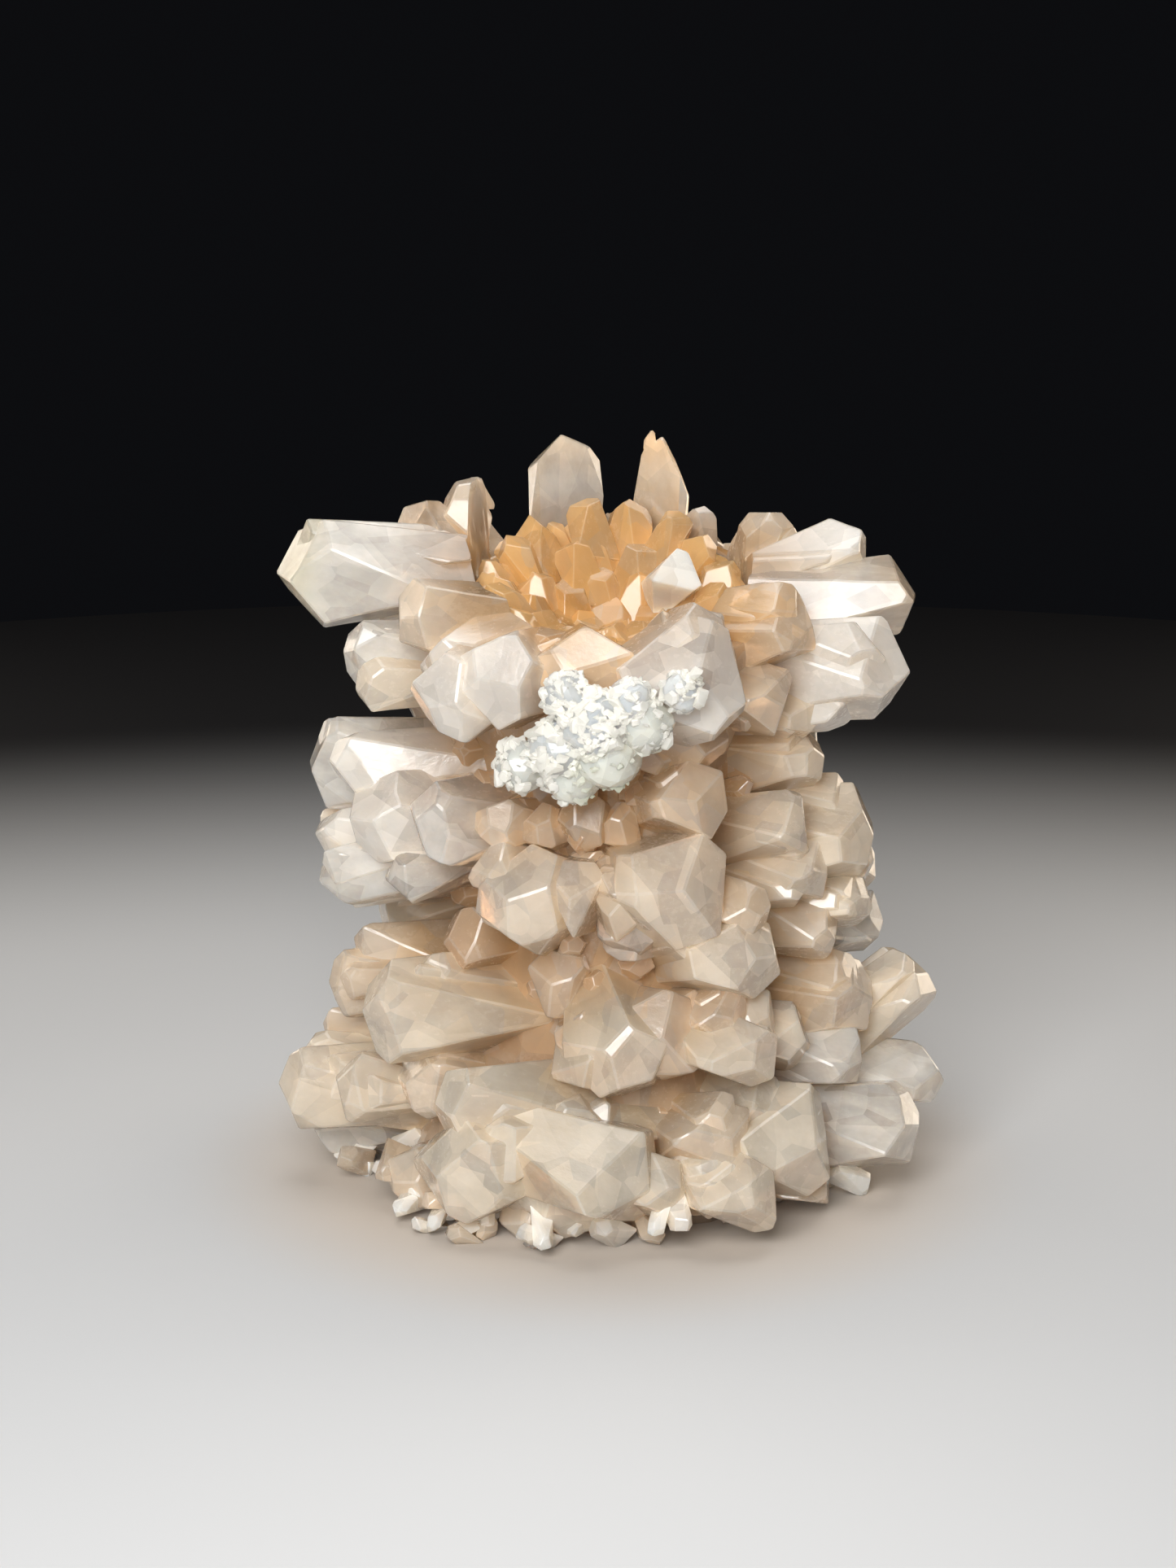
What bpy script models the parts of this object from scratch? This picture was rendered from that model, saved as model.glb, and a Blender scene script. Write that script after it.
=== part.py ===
"""A calcite specimen: a column of blocky crystals grown in tiers, with a flaring crown.

Sizes are in millimetres and angles in degrees. The column stands on the origin, +Z up. A bearing is
measured about the column: 0 is the front (-Y), 90 the right (+X), -90 the left and 180 the back.
"""
import math
import random
from typing import NamedTuple

import bmesh
import bpy
from mathutils import Matrix, Vector

MM = 0.001

# The column, whose top slopes down towards the front
COLUMN_TOP = 83.5
COLUMN_RADIUS = 20.0
CROWN_RADIUS = 23.5
FOOT_RADIUS = 30.0
FOOT_HEIGHT = 14.0
COLUMN_SIDES = 12
COLUMN_STRAY = 1.5
WAIST_SHARE = 0.45
NECK_SHARE = 0.75
CROWN_DEPTH = 7.0
FOOT_FLARE = 4.0
RIM_TILT = 0.27
SUNK = 4.0
GROUND_REACH = 90.0
GROUND_DEPTH = 60.0

# The crown's hollow and the crust that lines it
HOLLOW_FLOOR = 75.5
HOLLOW_RADIUS = 19.5
HOLLOW_CENTRE = (0.5, 1.0)
HOLLOW_SIDES = 12
FLOOR_SHARE = 0.18
BOWL_SHARE = 0.62
BOWL_HEIGHT = 3.2
BOWL_TILT = 0.6
LIP_DROP = 1.2
MOUTH_SHARE = 1.12
CRUST_GAP = 0.3
CRUST_THICKNESS = 2.2
CLEAR_HEIGHT = 115.0
CUTTER_REACH = 60.0

# How a crystal is cut: STRAY values say how far an angle or a place may stray either way
SIDE_FACES = 6
END_FACES = 3
FLARE = 5.0
TAPER = 9.0
BELLY = 0.42
SIDE_STRAY = 9.0
LEAN_STRAY = 2.5
SIDE_SHARES = (0.92, 1.06)
END_STRAY = 10.0
BLUNT_STRAY = 7.0
TIP_CUTS = (-0.6, 0.2)

# A smaller crystal grown side by side with a wide one
COMPANION_SHARE = 0.62
COMPANION_SHARES = (0.85, 1.2)
COMPANION_SLIP = 0.34
COMPANION_WIDTH = 12.5
COMPANION_LENGTH = 0.8
COMPANION_SET_BACK = (1.5, 4.0)
COMPANION_LIFT = 0.35
COMPANION_TILT = 7.0
COMPANION_ROLL = 12.0


class Crystal(NamedTuple):
    """One blocky crystal, placed by its tip and the way it points."""

    bearing: float
    reach: float
    height: float
    rise: float
    length: float
    width: float
    thickness: float
    roll: float = 0.0
    blunt: float = 62.0
    swing: float = 0.0
    spread: float = 0.0


CROWN = (
    Crystal(-91, 46, 86, 2, 32, 12, 12.5, -6, 50, spread=7),
    Crystal(-105, 30, 94, 42, 24, 9.5, 8, 10, 50),
    Crystal(-111, 23, 98, 52, 26, 10, 8, 25, 55),
    Crystal(-163, 21.5, 103, 78, 34, 11, 9, 15, 46),
    Crystal(158, 22, 103, 80, 34, 8.5, 8, 0, 32),
    Crystal(141, 22.5, 93, 66, 24, 6.5, 6, 20, 50),
    Crystal(102, 38, 89.5, 14, 26, 9, 7, 0, 56, spread=5),
    Crystal(94, 43.5, 83, 6, 30, 12.5, 10, -10, 60, spread=5),
    Crystal(79, 42.5, 74, 0, 32, 14, 12.5, 8, 46, spread=4),
    Crystal(71, 31, 67.5, -14, 22, 10, 8, 0, 60),
    Crystal(64, 31, 82, 16, 24, 11, 10, 12),
    Crystal(22, 32, 78, 18, 30, 17, 15, 5, 64),
    Crystal(26, 29, 68, -52, 18, 7.5, 6, 0, 40),
    Crystal(29, 26, 65.5, -14, 18, 13, 8, 10),
    Crystal(53, 30, 71, -8, 22, 11, 8, -12),
    Crystal(-63, 31.5, 82.5, 8, 24, 10, 10, 20, 66),
    Crystal(-79, 37, 76.5, 5, 24, 9, 9, 0, 60),
    Crystal(-73, 36, 72, -5, 22, 8, 6, 10, 60),
    Crystal(-44, 34, 72.5, -12, 26, 13, 12, 5, 60),
    Crystal(-30, 32.5, 77, 10, 24, 13, 10, -8, 66),
    Crystal(-9, 28.5, 78, 10, 22, 17, 8, 0, 68),
)

UPPER_LEFT = (
    Crystal(-94, 42.5, 59, 5, 28, 12, 13, 0, 62),
    Crystal(-77, 39.5, 61, 2, 24, 8.5, 8, 8, 60),
    Crystal(-69, 38, 55, 6, 24, 12, 12, -5, 55),
    Crystal(-52, 33, 55, 5, 22, 12, 11, 12),
    Crystal(-84, 41.5, 49.5, -3, 24, 8, 7, 0, 52),
    Crystal(-78, 41.5, 44.5, -3, 28, 9, 8, 6, 58),
    Crystal(-62, 34, 46, -10, 20, 8, 6, 0),
)

UPPER_FRONT = (
    Crystal(-35, 28, 56, 12, 16, 7, 7, 0, 66),
    Crystal(-23, 25, 55.5, 15, 14, 6, 6, 20, 66),
    Crystal(-9, 23.5, 56.5, 12, 14, 7.5, 7, 0, 68),
    Crystal(5, 23, 55.5, 12, 14, 6, 6, 10, 68),
    Crystal(-25, 31, 47, 14, 24, 14, 13, 10, 62),
    Crystal(-10, 28.5, 48, 16, 22, 11, 7, 90, 62),
    Crystal(5, 28.5, 47, 12, 22, 12, 8, 85, 60),
    Crystal(19, 32, 49, 14, 26, 15, 14, -10, 60),
    Crystal(30, 29, 45.5, 4, 18, 6, 6, 0, 60),
    Crystal(10, 26.5, 39, -30, 16, 11, 6, 0, 55),
    Crystal(26, 28.5, 60, 12, 20, 12, 8, 6, 66),
    Crystal(13, 21, 61, 20, 12, 6, 6, 0, 66),
)

UPPER_RIGHT = (
    Crystal(75, 31.5, 62, 10, 24, 10, 9, 0, 62),
    Crystal(58, 32, 54, 10, 22, 9.5, 9, 10, 66),
    Crystal(78, 38.5, 51, 6, 30, 13, 13, 0, 64),
    Crystal(88, 38, 45, -2, 22, 8, 8, 12, 60),
    Crystal(64, 34, 47, 0, 20, 9, 8, 0, 66),
    Crystal(78, 38.5, 40.5, -5, 22, 9, 8, -8, 60),
    Crystal(94, 40.5, 35, 0, 24, 8.5, 8, 0, 56),
    Crystal(38, 33, 44, -4, 18, 8, 6, 5, 60),
    Crystal(36, 33.5, 38.5, 6, 24, 14, 11, 0, 64),
    Crystal(68, 34.5, 37.5, -5, 20, 8, 8, 0, 60),
)

LOWER_LEFT = (
    Crystal(-85, 36.5, 33.5, 5, 22, 8, 5.5, 0, 64),
    Crystal(-84, 40, 28, 0, 26, 9, 9, 8, 60),
    Crystal(-62, 38.5, 28.5, 2, 32, 14, 12, 6, 62, -14),
    Crystal(-56, 32, 33, 14, 20, 8, 8, -10, 58),
    Crystal(-90, 41, 20.5, 0, 22, 6.5, 5, 0, 58),
    Crystal(-53, 27, 39, 12, 16, 9, 8, 0, 64),
)

LOWER_FRONT = (
    Crystal(-17, 25, 34.5, 12, 16, 9, 8, 90, 62),
    Crystal(14, 30.5, 28, 10, 20, 13, 12, 0, 64),
    Crystal(3, 32, 22, -28, 20, 15, 10, 0, 48),
    Crystal(-6, 28, 27, 8, 16, 8, 9, 10, 60),
    Crystal(33, 32, 30, 10, 18, 8.5, 7, 0, 60),
    Crystal(44, 32, 28.5, 8, 18, 8, 8, 15, 60),
    Crystal(33, 36.5, 24.5, -6, 22, 13, 7, 0, 62),
    Crystal(55, 34, 24, 2, 20, 9, 9, 5, 60),
)

LOWER_RIGHT = (
    Crystal(74, 39, 28, 8, 24, 11, 10, 0, 58),
    Crystal(86, 46, 29.5, 38, 28, 11, 9.5, 0, 62),
    Crystal(67, 39, 20, 0, 22, 9, 8, 10, 64),
    Crystal(83, 49, 13.5, -4, 30, 10, 8.5, 0, 50),
)

FOOT = (
    Crystal(-80, 47.5, 14.5, 6, 30, 13, 12, 0, 60),
    Crystal(-68, 41, 17, 14, 24, 11, 9, 10, 62),
    Crystal(-84, 42.5, 5.5, -2, 22, 8, 5, 0, 55),
    Crystal(-54, 34, 18.5, 12, 20, 9, 9, 0, 60),
    Crystal(-40, 37, 18.5, 8, 32, 14, 12, -5, 60, -32),
    Crystal(-34, 41, 10.5, 2, 28, 17, 13, 5, 60, -14),
    Crystal(-14, 34, 14, 14, 24, 14, 12, 0, 62, -10),
    Crystal(8, 38, 9.5, -8, 28, 17, 12, 8, 56, 44),
    Crystal(-12, 37, 6.5, -6, 24, 13, 9, 0, 64),
    Crystal(26, 37, 15.5, 18, 24, 12, 9, 0, 58),
    Crystal(44, 40.5, 13, 8, 28, 16, 14, 0, 64),
    Crystal(69, 46.5, 10, 3, 30, 12, 12, 8, 66),
    Crystal(27, 43, 7.5, 0, 26, 12, 9, 0, 60),
    Crystal(52, 39, 4, -4, 20, 10, 6, 0, 60),
    Crystal(-52, 38, 5, 0, 22, 11, 8, 0, 62),
)

# The side that faces away: rings of crystals that follow the same tiers
BACK_BEARINGS = (98, 264)
BACK_TURN = 5.0
BACK_REACH = 3.5
BACK_LIFT = 2.5
BACK_TILT = 10.0
BACK_ROLL = 30.0
BACK_WIDTHS = (0.8, 1.3)
BACK_THICKNESSES = (0.65, 1.0)
BACK_BLUNTS = (52.0, 66.0)


class Ring(NamedTuple):
    """A ring of crystals round the back of the column."""

    height: float
    reach: float
    rise: float
    count: int
    width: float
    length: float


BACK_RINGS = (
    Ring(90, 27, 60, 5, 10, 22),
    Ring(86, 34, 40, 6, 12, 28),
    Ring(76, 38, 12, 6, 13, 28),
    Ring(66, 33, -6, 6, 11, 22),
    Ring(56, 36, 8, 6, 12.5, 26),
    Ring(45, 39, 2, 7, 12, 28),
    Ring(34, 36, -4, 6, 12, 24),
    Ring(23, 39, 8, 7, 12, 26),
    Ring(10, 42, 2, 8, 13, 26),
)

# The sugary white patch under the front lip: lumps by bearing, reach, height and radius
WHITE_LUMPS = (
    (-10, 32, 75, 3.8),
    (5, 33, 74.5, 3.6),
    (17, 34, 76, 3.0),
    (-3, 33, 71.5, 5.0),
    (9, 33, 71.5, 4.0),
    (-12, 31.5, 68, 4.6),
    (0, 31.5, 67, 5.0),
    (-23, 30.5, 65, 4.0),
    (-10, 30, 64, 4.4),
)
LUMP_SUNK = 0.55
WHITE_CHIP = Crystal(60, 11, 87.5, 30, 14, 6.6, 6.2, 10, 84, -52)

# The crust's small crystals: rings by height, radius, how steeply each stands, and how many
CRUST_RINGS = (
    (80.0, 3.5, 84, 4),
    (82.5, 8.0, 72, 8),
    (85.0, 12.5, 62, 12),
    (87.0, 17.0, 56, 15),
)
CRUST_SLOPE = 7.5
CRUST_CRYSTAL = 5.8
CRUST_LENGTH = 11.0
CRUST_TURN = 0.25
CRUST_REACH = 0.8
CRUST_LIFT = 1.5
CRUST_TILT = 8.0
CRUST_WIDTHS = (0.85, 1.25)
CRUST_THICKNESSES = (0.75, 1.0)
CRUST_BLUNTS = (38.0, 58.0)

# The crumbs of crystal round the foot's edge
CRUMB_COUNT = 20
CRUMB_RADIUS = 4.2
CRUMB_TURN = 0.3
CRUMB_REACHES = (1.0, 4.5)
CRUMB_HEIGHTS = (1.5, 5.5)
CRUMB_RISES = (-18.0, 25.0)
CRUMB_LENGTH = 3.0
CRUMB_WIDTHS = (1.3, 2.0)
CRUMB_THICKNESSES = (1.1, 1.6)
CRUMB_BLUNTS = (45.0, 62.0)

# A six-sided crystal looks the same again after this turn
SIXTH_TURN = 60.0

# Colour and roughness of the two nodes
CLUSTER_COLOUR = (0.80, 0.68, 0.56)
CRUST_COLOUR = (0.72, 0.46, 0.24)
FROST = 0.35


def compass(bearing, rise=0.0):
    """Give the unit vector that points along a bearing and up by an angle."""
    turn = math.radians(bearing)
    lift = math.radians(rise)
    return Vector((math.sin(turn) * math.cos(lift), -math.cos(turn) * math.cos(lift), math.sin(lift)))


def place(bearing, reach, height):
    """Give the point at a bearing, a distance from the column's axis and a height."""
    point = compass(bearing) * reach
    point.z = height
    return point


def stray(rng, reach):
    """Draw a number between minus and plus a reach."""
    return rng.uniform(-reach, reach)


def cut_away(shape, point, normal):
    """Cut off what lies beyond a plane and close the cut with one flat face."""
    everything = shape.verts[:] + shape.edges[:] + shape.faces[:]
    cut = bmesh.ops.bisect_plane(
        shape, geom=everything, dist=1e-7, plane_co=point, plane_no=normal, clear_outer=True
    )
    rim = [item for item in cut["geom_cut"] if isinstance(item, bmesh.types.BMEdge)]
    if len(rim) > 2:
        bmesh.ops.contextual_create(shape, geom=rim)


def cut_crystal(crystal, rng):
    """Cut one crystal from a block: sides that flare and taper by turns, then three end faces."""
    shape = bmesh.new()
    size = crystal.length + crystal.width + crystal.thickness
    bmesh.ops.create_cube(shape, size=2.0 * size)
    belly = crystal.length * BELLY
    cut_away(shape, Vector((0, 0, -crystal.length)), Vector((0, 0, -1)))
    for number in range(SIDE_FACES):
        angle = math.radians(360.0 / SIDE_FACES * number + stray(rng, SIDE_STRAY))
        lean = -FLARE if number % 2 else TAPER
        lean = math.radians(lean - crystal.spread + stray(rng, LEAN_STRAY))
        outward = Vector((math.cos(angle), math.sin(angle), 0.0))
        half = math.hypot(crystal.width * outward.x, crystal.thickness * outward.y) / 2.0
        half *= rng.uniform(*SIDE_SHARES)
        normal = outward * math.cos(lean) + Vector((0, 0, math.sin(lean)))
        cut_away(shape, outward * half - Vector((0, 0, belly)), normal)
    first = rng.uniform(0.0, 360.0 / END_FACES)
    for number in range(END_FACES):
        angle = math.radians(first + 360.0 / END_FACES * number + stray(rng, END_STRAY))
        slope = math.radians(crystal.blunt + stray(rng, BLUNT_STRAY))
        outward = Vector((math.cos(angle), math.sin(angle), 0.0))
        normal = outward * math.cos(slope) + Vector((0, 0, math.sin(slope)))
        cut_away(shape, Vector((0, 0, rng.uniform(*TIP_CUTS))), normal)
    return shape


def stand(crystal):
    """Give the matrix that takes a cut crystal to its place on the column."""
    axis = compass(crystal.bearing + crystal.swing, crystal.rise)
    level = Vector((0, 0, 1)).cross(axis).normalized()
    upward = axis.cross(level)
    frame = Matrix((level, upward, axis)).transposed().to_4x4()
    roll = Matrix.Rotation(math.radians(crystal.roll), 4, "Z")
    return Matrix.Translation(place(crystal.bearing, crystal.reach, crystal.height)) @ frame @ roll


def companion(crystal, rng):
    """Give a smaller crystal grown side by side with another, almost parallel to it."""
    share = COMPANION_SHARE * rng.uniform(*COMPANION_SHARES)
    slip = crystal.width * COMPANION_SLIP * rng.choice((-1.0, 1.0))
    turn = math.degrees(slip / crystal.reach)
    return crystal._replace(
        bearing=crystal.bearing + turn,
        reach=crystal.reach - rng.uniform(*COMPANION_SET_BACK),
        height=crystal.height + crystal.thickness * stray(rng, COMPANION_LIFT),
        rise=crystal.rise + stray(rng, COMPANION_TILT),
        length=crystal.length * COMPANION_LENGTH,
        width=crystal.width * share,
        thickness=crystal.thickness * share,
        roll=crystal.roll + stray(rng, COMPANION_ROLL),
    )


def back_crystals():
    """List the crystals of the side that faces away, ring by ring."""
    rng = random.Random("back")
    start, stop = BACK_BEARINGS
    found = []
    for ring in BACK_RINGS:
        step = (stop - start) / ring.count
        for number in range(ring.count):
            found.append(Crystal(
                bearing=start + step * (number + 0.5) + stray(rng, BACK_TURN),
                reach=ring.reach + stray(rng, BACK_REACH),
                height=ring.height + stray(rng, BACK_LIFT),
                rise=ring.rise + stray(rng, BACK_TILT),
                length=ring.length,
                width=ring.width * rng.uniform(*BACK_WIDTHS),
                thickness=ring.width * rng.uniform(*BACK_THICKNESSES),
                roll=stray(rng, BACK_ROLL),
                blunt=rng.uniform(*BACK_BLUNTS),
            ))
    return found


def new_object(name, shape):
    """Turn a shape in millimetres into an object in metres."""
    bmesh.ops.scale(shape, vec=(MM, MM, MM), verts=shape.verts)
    bmesh.ops.recalc_face_normals(shape, faces=shape.faces)
    mesh = bpy.data.meshes.new(name)
    shape.to_mesh(mesh)
    shape.free()
    thing = bpy.data.objects.new(name, mesh)
    bpy.context.scene.collection.objects.link(thing)
    return thing


def crystal_object(name, crystal):
    """Make one crystal as an object where it stands, cut in the way that its name seeds."""
    shape = cut_crystal(crystal, random.Random(name))
    bmesh.ops.transform(shape, matrix=stand(crystal), verts=shape.verts)
    return new_object(name, shape)


def turned_object(name, profile, sides, centre=(0.0, 0.0), jagged=0.0):
    """Make a closed many-sided body from rings of radius, height and backward climb, bottom to top."""
    rng = random.Random(name)
    shape = bmesh.new()
    rings = []
    for radius, height, climb in profile:
        ring = []
        for number in range(sides):
            angle = 2.0 * math.pi * number / sides
            reach = radius + stray(rng, jagged)
            across = centre[0] + reach * math.cos(angle)
            back = centre[1] + reach * math.sin(angle)
            ring.append(shape.verts.new((across, back, height + climb * back)))
        rings.append(ring)
    for lower, upper in zip(rings, rings[1:]):
        for number in range(sides):
            after = (number + 1) % sides
            shape.faces.new((lower[number], lower[after], upper[after], upper[number]))
    shape.faces.new(rings[0][::-1])
    shape.faces.new(rings[-1])
    return new_object(name, shape)


def lump_object(name, lump):
    """Make one round, faceted lump of the white patch."""
    bearing, reach, height, radius = lump
    shape = bmesh.new()
    bmesh.ops.create_icosphere(shape, subdivisions=1, radius=radius)
    bmesh.ops.translate(shape, vec=place(bearing, reach - radius * LUMP_SUNK, height), verts=shape.verts)
    return new_object(name, shape)


def combine(target, others, operation):
    """Join other bodies to a target, or cut them from it, and delete them."""
    group = bpy.data.collections.new("operands")
    bpy.context.scene.collection.children.link(group)
    for other in others:
        bpy.context.scene.collection.objects.unlink(other)
        group.objects.link(other)
    modifier = target.modifiers.new("combine", "BOOLEAN")
    modifier.operation = operation
    modifier.operand_type = "COLLECTION"
    modifier.collection = group
    modifier.solver = "EXACT"
    graph = bpy.context.evaluated_depsgraph_get()
    mesh = bpy.data.meshes.new_from_object(target.evaluated_get(graph))
    target.modifiers.remove(modifier)
    target.data = mesh
    for other in others:
        bpy.data.objects.remove(other)
    bpy.data.collections.remove(group)


def islands(shape):
    """Split a shape's faces into its unconnected bodies."""
    waiting = set(shape.faces)
    found = []
    while waiting:
        seed = min(waiting, key=lambda face: face.index)
        body = {seed}
        edge_of_growth = [seed]
        while edge_of_growth:
            face = edge_of_growth.pop()
            for edge in face.edges:
                for other in edge.link_faces:
                    if other not in body:
                        body.add(other)
                        edge_of_growth.append(other)
        waiting -= body
        found.append(body)
    return found


def keep_largest(thing):
    """Keep the outer skin of the largest body, without crumbs or sealed pockets."""
    shape = bmesh.new()
    shape.from_mesh(thing.data)
    shape.faces.ensure_lookup_table()
    bodies = islands(shape)
    largest = max(bodies, key=lambda body: sum(face.calc_area() for face in body))
    extra = [face for body in bodies if body is not largest for face in body]
    bmesh.ops.delete(shape, geom=extra, context="FACES")
    shape.to_mesh(thing.data)
    shape.free()


def hollow_profile(inset=0.0):
    """Give the hollow's wall as rings, drawn in by an inset."""
    return (
        (HOLLOW_RADIUS * FLOOR_SHARE - inset, HOLLOW_FLOOR + inset, 0.0),
        (HOLLOW_RADIUS * BOWL_SHARE - inset, HOLLOW_FLOOR + BOWL_HEIGHT + inset, RIM_TILT * BOWL_TILT),
        (HOLLOW_RADIUS - inset, COLUMN_TOP - LIP_DROP + inset / 2.0, RIM_TILT),
        (HOLLOW_RADIUS * MOUTH_SHARE - inset, CLEAR_HEIGHT, 0.0),
    )


def hollow_object(name, inset=0.0):
    """Make the hollow as a solid, drawn in by an inset."""
    return turned_object(name, hollow_profile(inset), HOLLOW_SIDES, HOLLOW_CENTRE)


def finish(thing, colour):
    """Give a node its own material."""
    material = bpy.data.materials.new(thing.name)
    material.use_nodes = True
    surface = material.node_tree.nodes["Principled BSDF"]
    surface.inputs["Base Color"].default_value = (*colour, 1.0)
    surface.inputs["Roughness"].default_value = FROST
    surface.inputs["Metallic"].default_value = 0.0
    thing.data.materials.clear()
    thing.data.materials.append(material)


def foot_crumbs():
    """List the small crystals that crumble round the foot's edge."""
    rng = random.Random("crumbs")
    return [
        Crystal(
            bearing=360.0 / CRUMB_COUNT * (number + stray(rng, CRUMB_TURN)),
            reach=FOOT_RADIUS + rng.uniform(*CRUMB_REACHES),
            height=rng.uniform(*CRUMB_HEIGHTS),
            rise=rng.uniform(*CRUMB_RISES),
            length=CRUMB_RADIUS * CRUMB_LENGTH,
            width=CRUMB_RADIUS * rng.uniform(*CRUMB_WIDTHS),
            thickness=CRUMB_RADIUS * rng.uniform(*CRUMB_THICKNESSES),
            roll=rng.uniform(0.0, SIXTH_TURN),
            blunt=rng.uniform(*CRUMB_BLUNTS),
        )
        for number in range(CRUMB_COUNT)
    ]


def crust_crystals():
    """List the crust's crystals, ring by ring, taller towards the back."""
    rng = random.Random("crust")
    found = []
    for height, radius, rise, count in CRUST_RINGS:
        for number in range(count):
            bearing = 360.0 / count * (number + stray(rng, CRUST_TURN))
            behind = -math.cos(math.radians(bearing)) * radius / HOLLOW_RADIUS
            found.append(Crystal(
                bearing=bearing,
                reach=radius + stray(rng, CRUST_REACH),
                height=height + CRUST_SLOPE * behind + stray(rng, CRUST_LIFT),
                rise=rise + stray(rng, CRUST_TILT),
                length=CRUST_LENGTH,
                width=CRUST_CRYSTAL * rng.uniform(*CRUST_WIDTHS),
                thickness=CRUST_CRYSTAL * rng.uniform(*CRUST_THICKNESSES),
                roll=rng.uniform(0.0, SIXTH_TURN),
                blunt=rng.uniform(*CRUST_BLUNTS),
            ))
    return found


def build_cluster():
    """Grow the column and its crystals together into one body, cut flat at the foot."""
    profile = (
        (FOOT_RADIUS, -SUNK, 0.0),
        (FOOT_RADIUS, FOOT_HEIGHT / 2.0, 0.0),
        (COLUMN_RADIUS + FOOT_FLARE, FOOT_HEIGHT * 1.5, 0.0),
        (COLUMN_RADIUS, COLUMN_TOP * WAIST_SHARE, 0.0),
        (COLUMN_RADIUS, COLUMN_TOP * NECK_SHARE, 0.0),
        (CROWN_RADIUS, COLUMN_TOP - CROWN_DEPTH, RIM_TILT),
        (CROWN_RADIUS, COLUMN_TOP, RIM_TILT),
    )
    column = turned_object("calcite_cluster", profile, COLUMN_SIDES, jagged=COLUMN_STRAY)
    tiers = {
        "crown": CROWN,
        "upper_left": UPPER_LEFT,
        "upper_front": UPPER_FRONT,
        "upper_right": UPPER_RIGHT,
        "lower_left": LOWER_LEFT,
        "lower_front": LOWER_FRONT,
        "lower_right": LOWER_RIGHT,
        "foot": FOOT,
        "back": back_crystals(),
        "crumb": foot_crumbs(),
    }
    grown = []
    for tier, crystals in tiers.items():
        for number, crystal in enumerate(crystals):
            name = f"{tier}_{number}"
            grown.append(crystal_object(name, crystal))
            if tier != "back" and crystal.width > COMPANION_WIDTH:
                grown.append(crystal_object(f"{name}_side", companion(crystal, random.Random(name))))
    grown += [lump_object(f"lump_{number}", lump) for number, lump in enumerate(WHITE_LUMPS)]
    combine(column, grown, "UNION")
    ground = turned_object("ground", ((GROUND_REACH, -GROUND_DEPTH, 0.0), (GROUND_REACH, 0.0, 0.0)), 4)
    combine(column, [hollow_object("hollow"), ground], "DIFFERENCE")
    keep_largest(column)
    finish(column, CLUSTER_COLOUR)


def build_crust():
    """Line the hollow with one crust of small crystals that point up out of it."""
    crust = hollow_object("crown_crust", 1.5 * CRUST_GAP)
    inside = hollow_object("inside", CRUST_THICKNESS)
    rim = ((CUTTER_REACH, COLUMN_TOP, RIM_TILT), (CUTTER_REACH, 2.0 * COLUMN_TOP, 0.0))
    above = turned_object("above", rim, 4)
    combine(crust, [inside, above], "DIFFERENCE")
    crystals = crust_crystals() + [WHITE_CHIP]
    combine(crust, [crystal_object(f"honey_{n}", crystal) for n, crystal in enumerate(crystals)], "UNION")
    combine(crust, [hollow_object("bounds", CRUST_GAP)], "INTERSECT")
    keep_largest(crust)
    finish(crust, CRUST_COLOUR)


def main():
    """Clear the scene and build the specimen."""
    for thing in list(bpy.data.objects):
        bpy.data.objects.remove(thing)
    build_cluster()
    build_crust()


main()
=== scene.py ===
"""The look of a calcite specimen: tiers of frosted crystals on a column, with a honey-lined crown.

Shapes are worked out in millimetres and become metres when a mesh is made. A bearing is measured
about the column in degrees: 0 is the front (-Y), 90 the right (+X), -90 the left and 180 the back.
"""

import logging
import math
import random
from dataclasses import dataclass, field, replace
from enum import Enum
from typing import Any, Sequence

import bmesh
import bpy
from mathutils import Matrix, Vector, noise
from mathutils.bvhtree import BVHTree


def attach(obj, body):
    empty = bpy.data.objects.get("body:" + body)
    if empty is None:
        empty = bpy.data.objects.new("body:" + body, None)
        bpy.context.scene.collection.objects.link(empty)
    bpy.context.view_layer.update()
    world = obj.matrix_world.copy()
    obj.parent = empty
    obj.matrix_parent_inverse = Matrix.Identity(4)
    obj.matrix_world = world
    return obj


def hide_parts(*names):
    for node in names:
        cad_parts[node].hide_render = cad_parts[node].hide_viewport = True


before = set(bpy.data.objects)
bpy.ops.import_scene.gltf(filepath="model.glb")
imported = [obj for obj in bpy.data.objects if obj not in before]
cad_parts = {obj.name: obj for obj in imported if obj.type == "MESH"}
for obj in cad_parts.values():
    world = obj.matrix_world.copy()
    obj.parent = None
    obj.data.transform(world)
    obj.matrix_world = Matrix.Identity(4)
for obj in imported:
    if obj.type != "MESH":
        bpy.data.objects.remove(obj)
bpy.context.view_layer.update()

MM = 0.001
LOG = logging.getLogger("calcite")


class Tone(Enum):
    """What a crystal is made of, as its colour and how clear it is."""

    CLEAR = (0.96, 0.92, 0.84, 0.80)
    SNOW = (0.97, 0.91, 0.82, 0.50)
    PALE_GREEN = (0.86, 0.87, 0.74, 0.22)
    CITRINE = (0.93, 0.86, 0.58, 0.65)
    PINK = (0.86, 0.70, 0.50, 0.50)
    PEACH = (0.93, 0.70, 0.46, 0.45)
    TAN = (0.71, 0.49, 0.28, 0.45)
    HONEY = (0.90, 0.52, 0.18, 0.40)
    AMBER = (0.56, 0.29, 0.10, 0.35)
    MILK = (0.92, 0.92, 0.88, 0.10)


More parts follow.
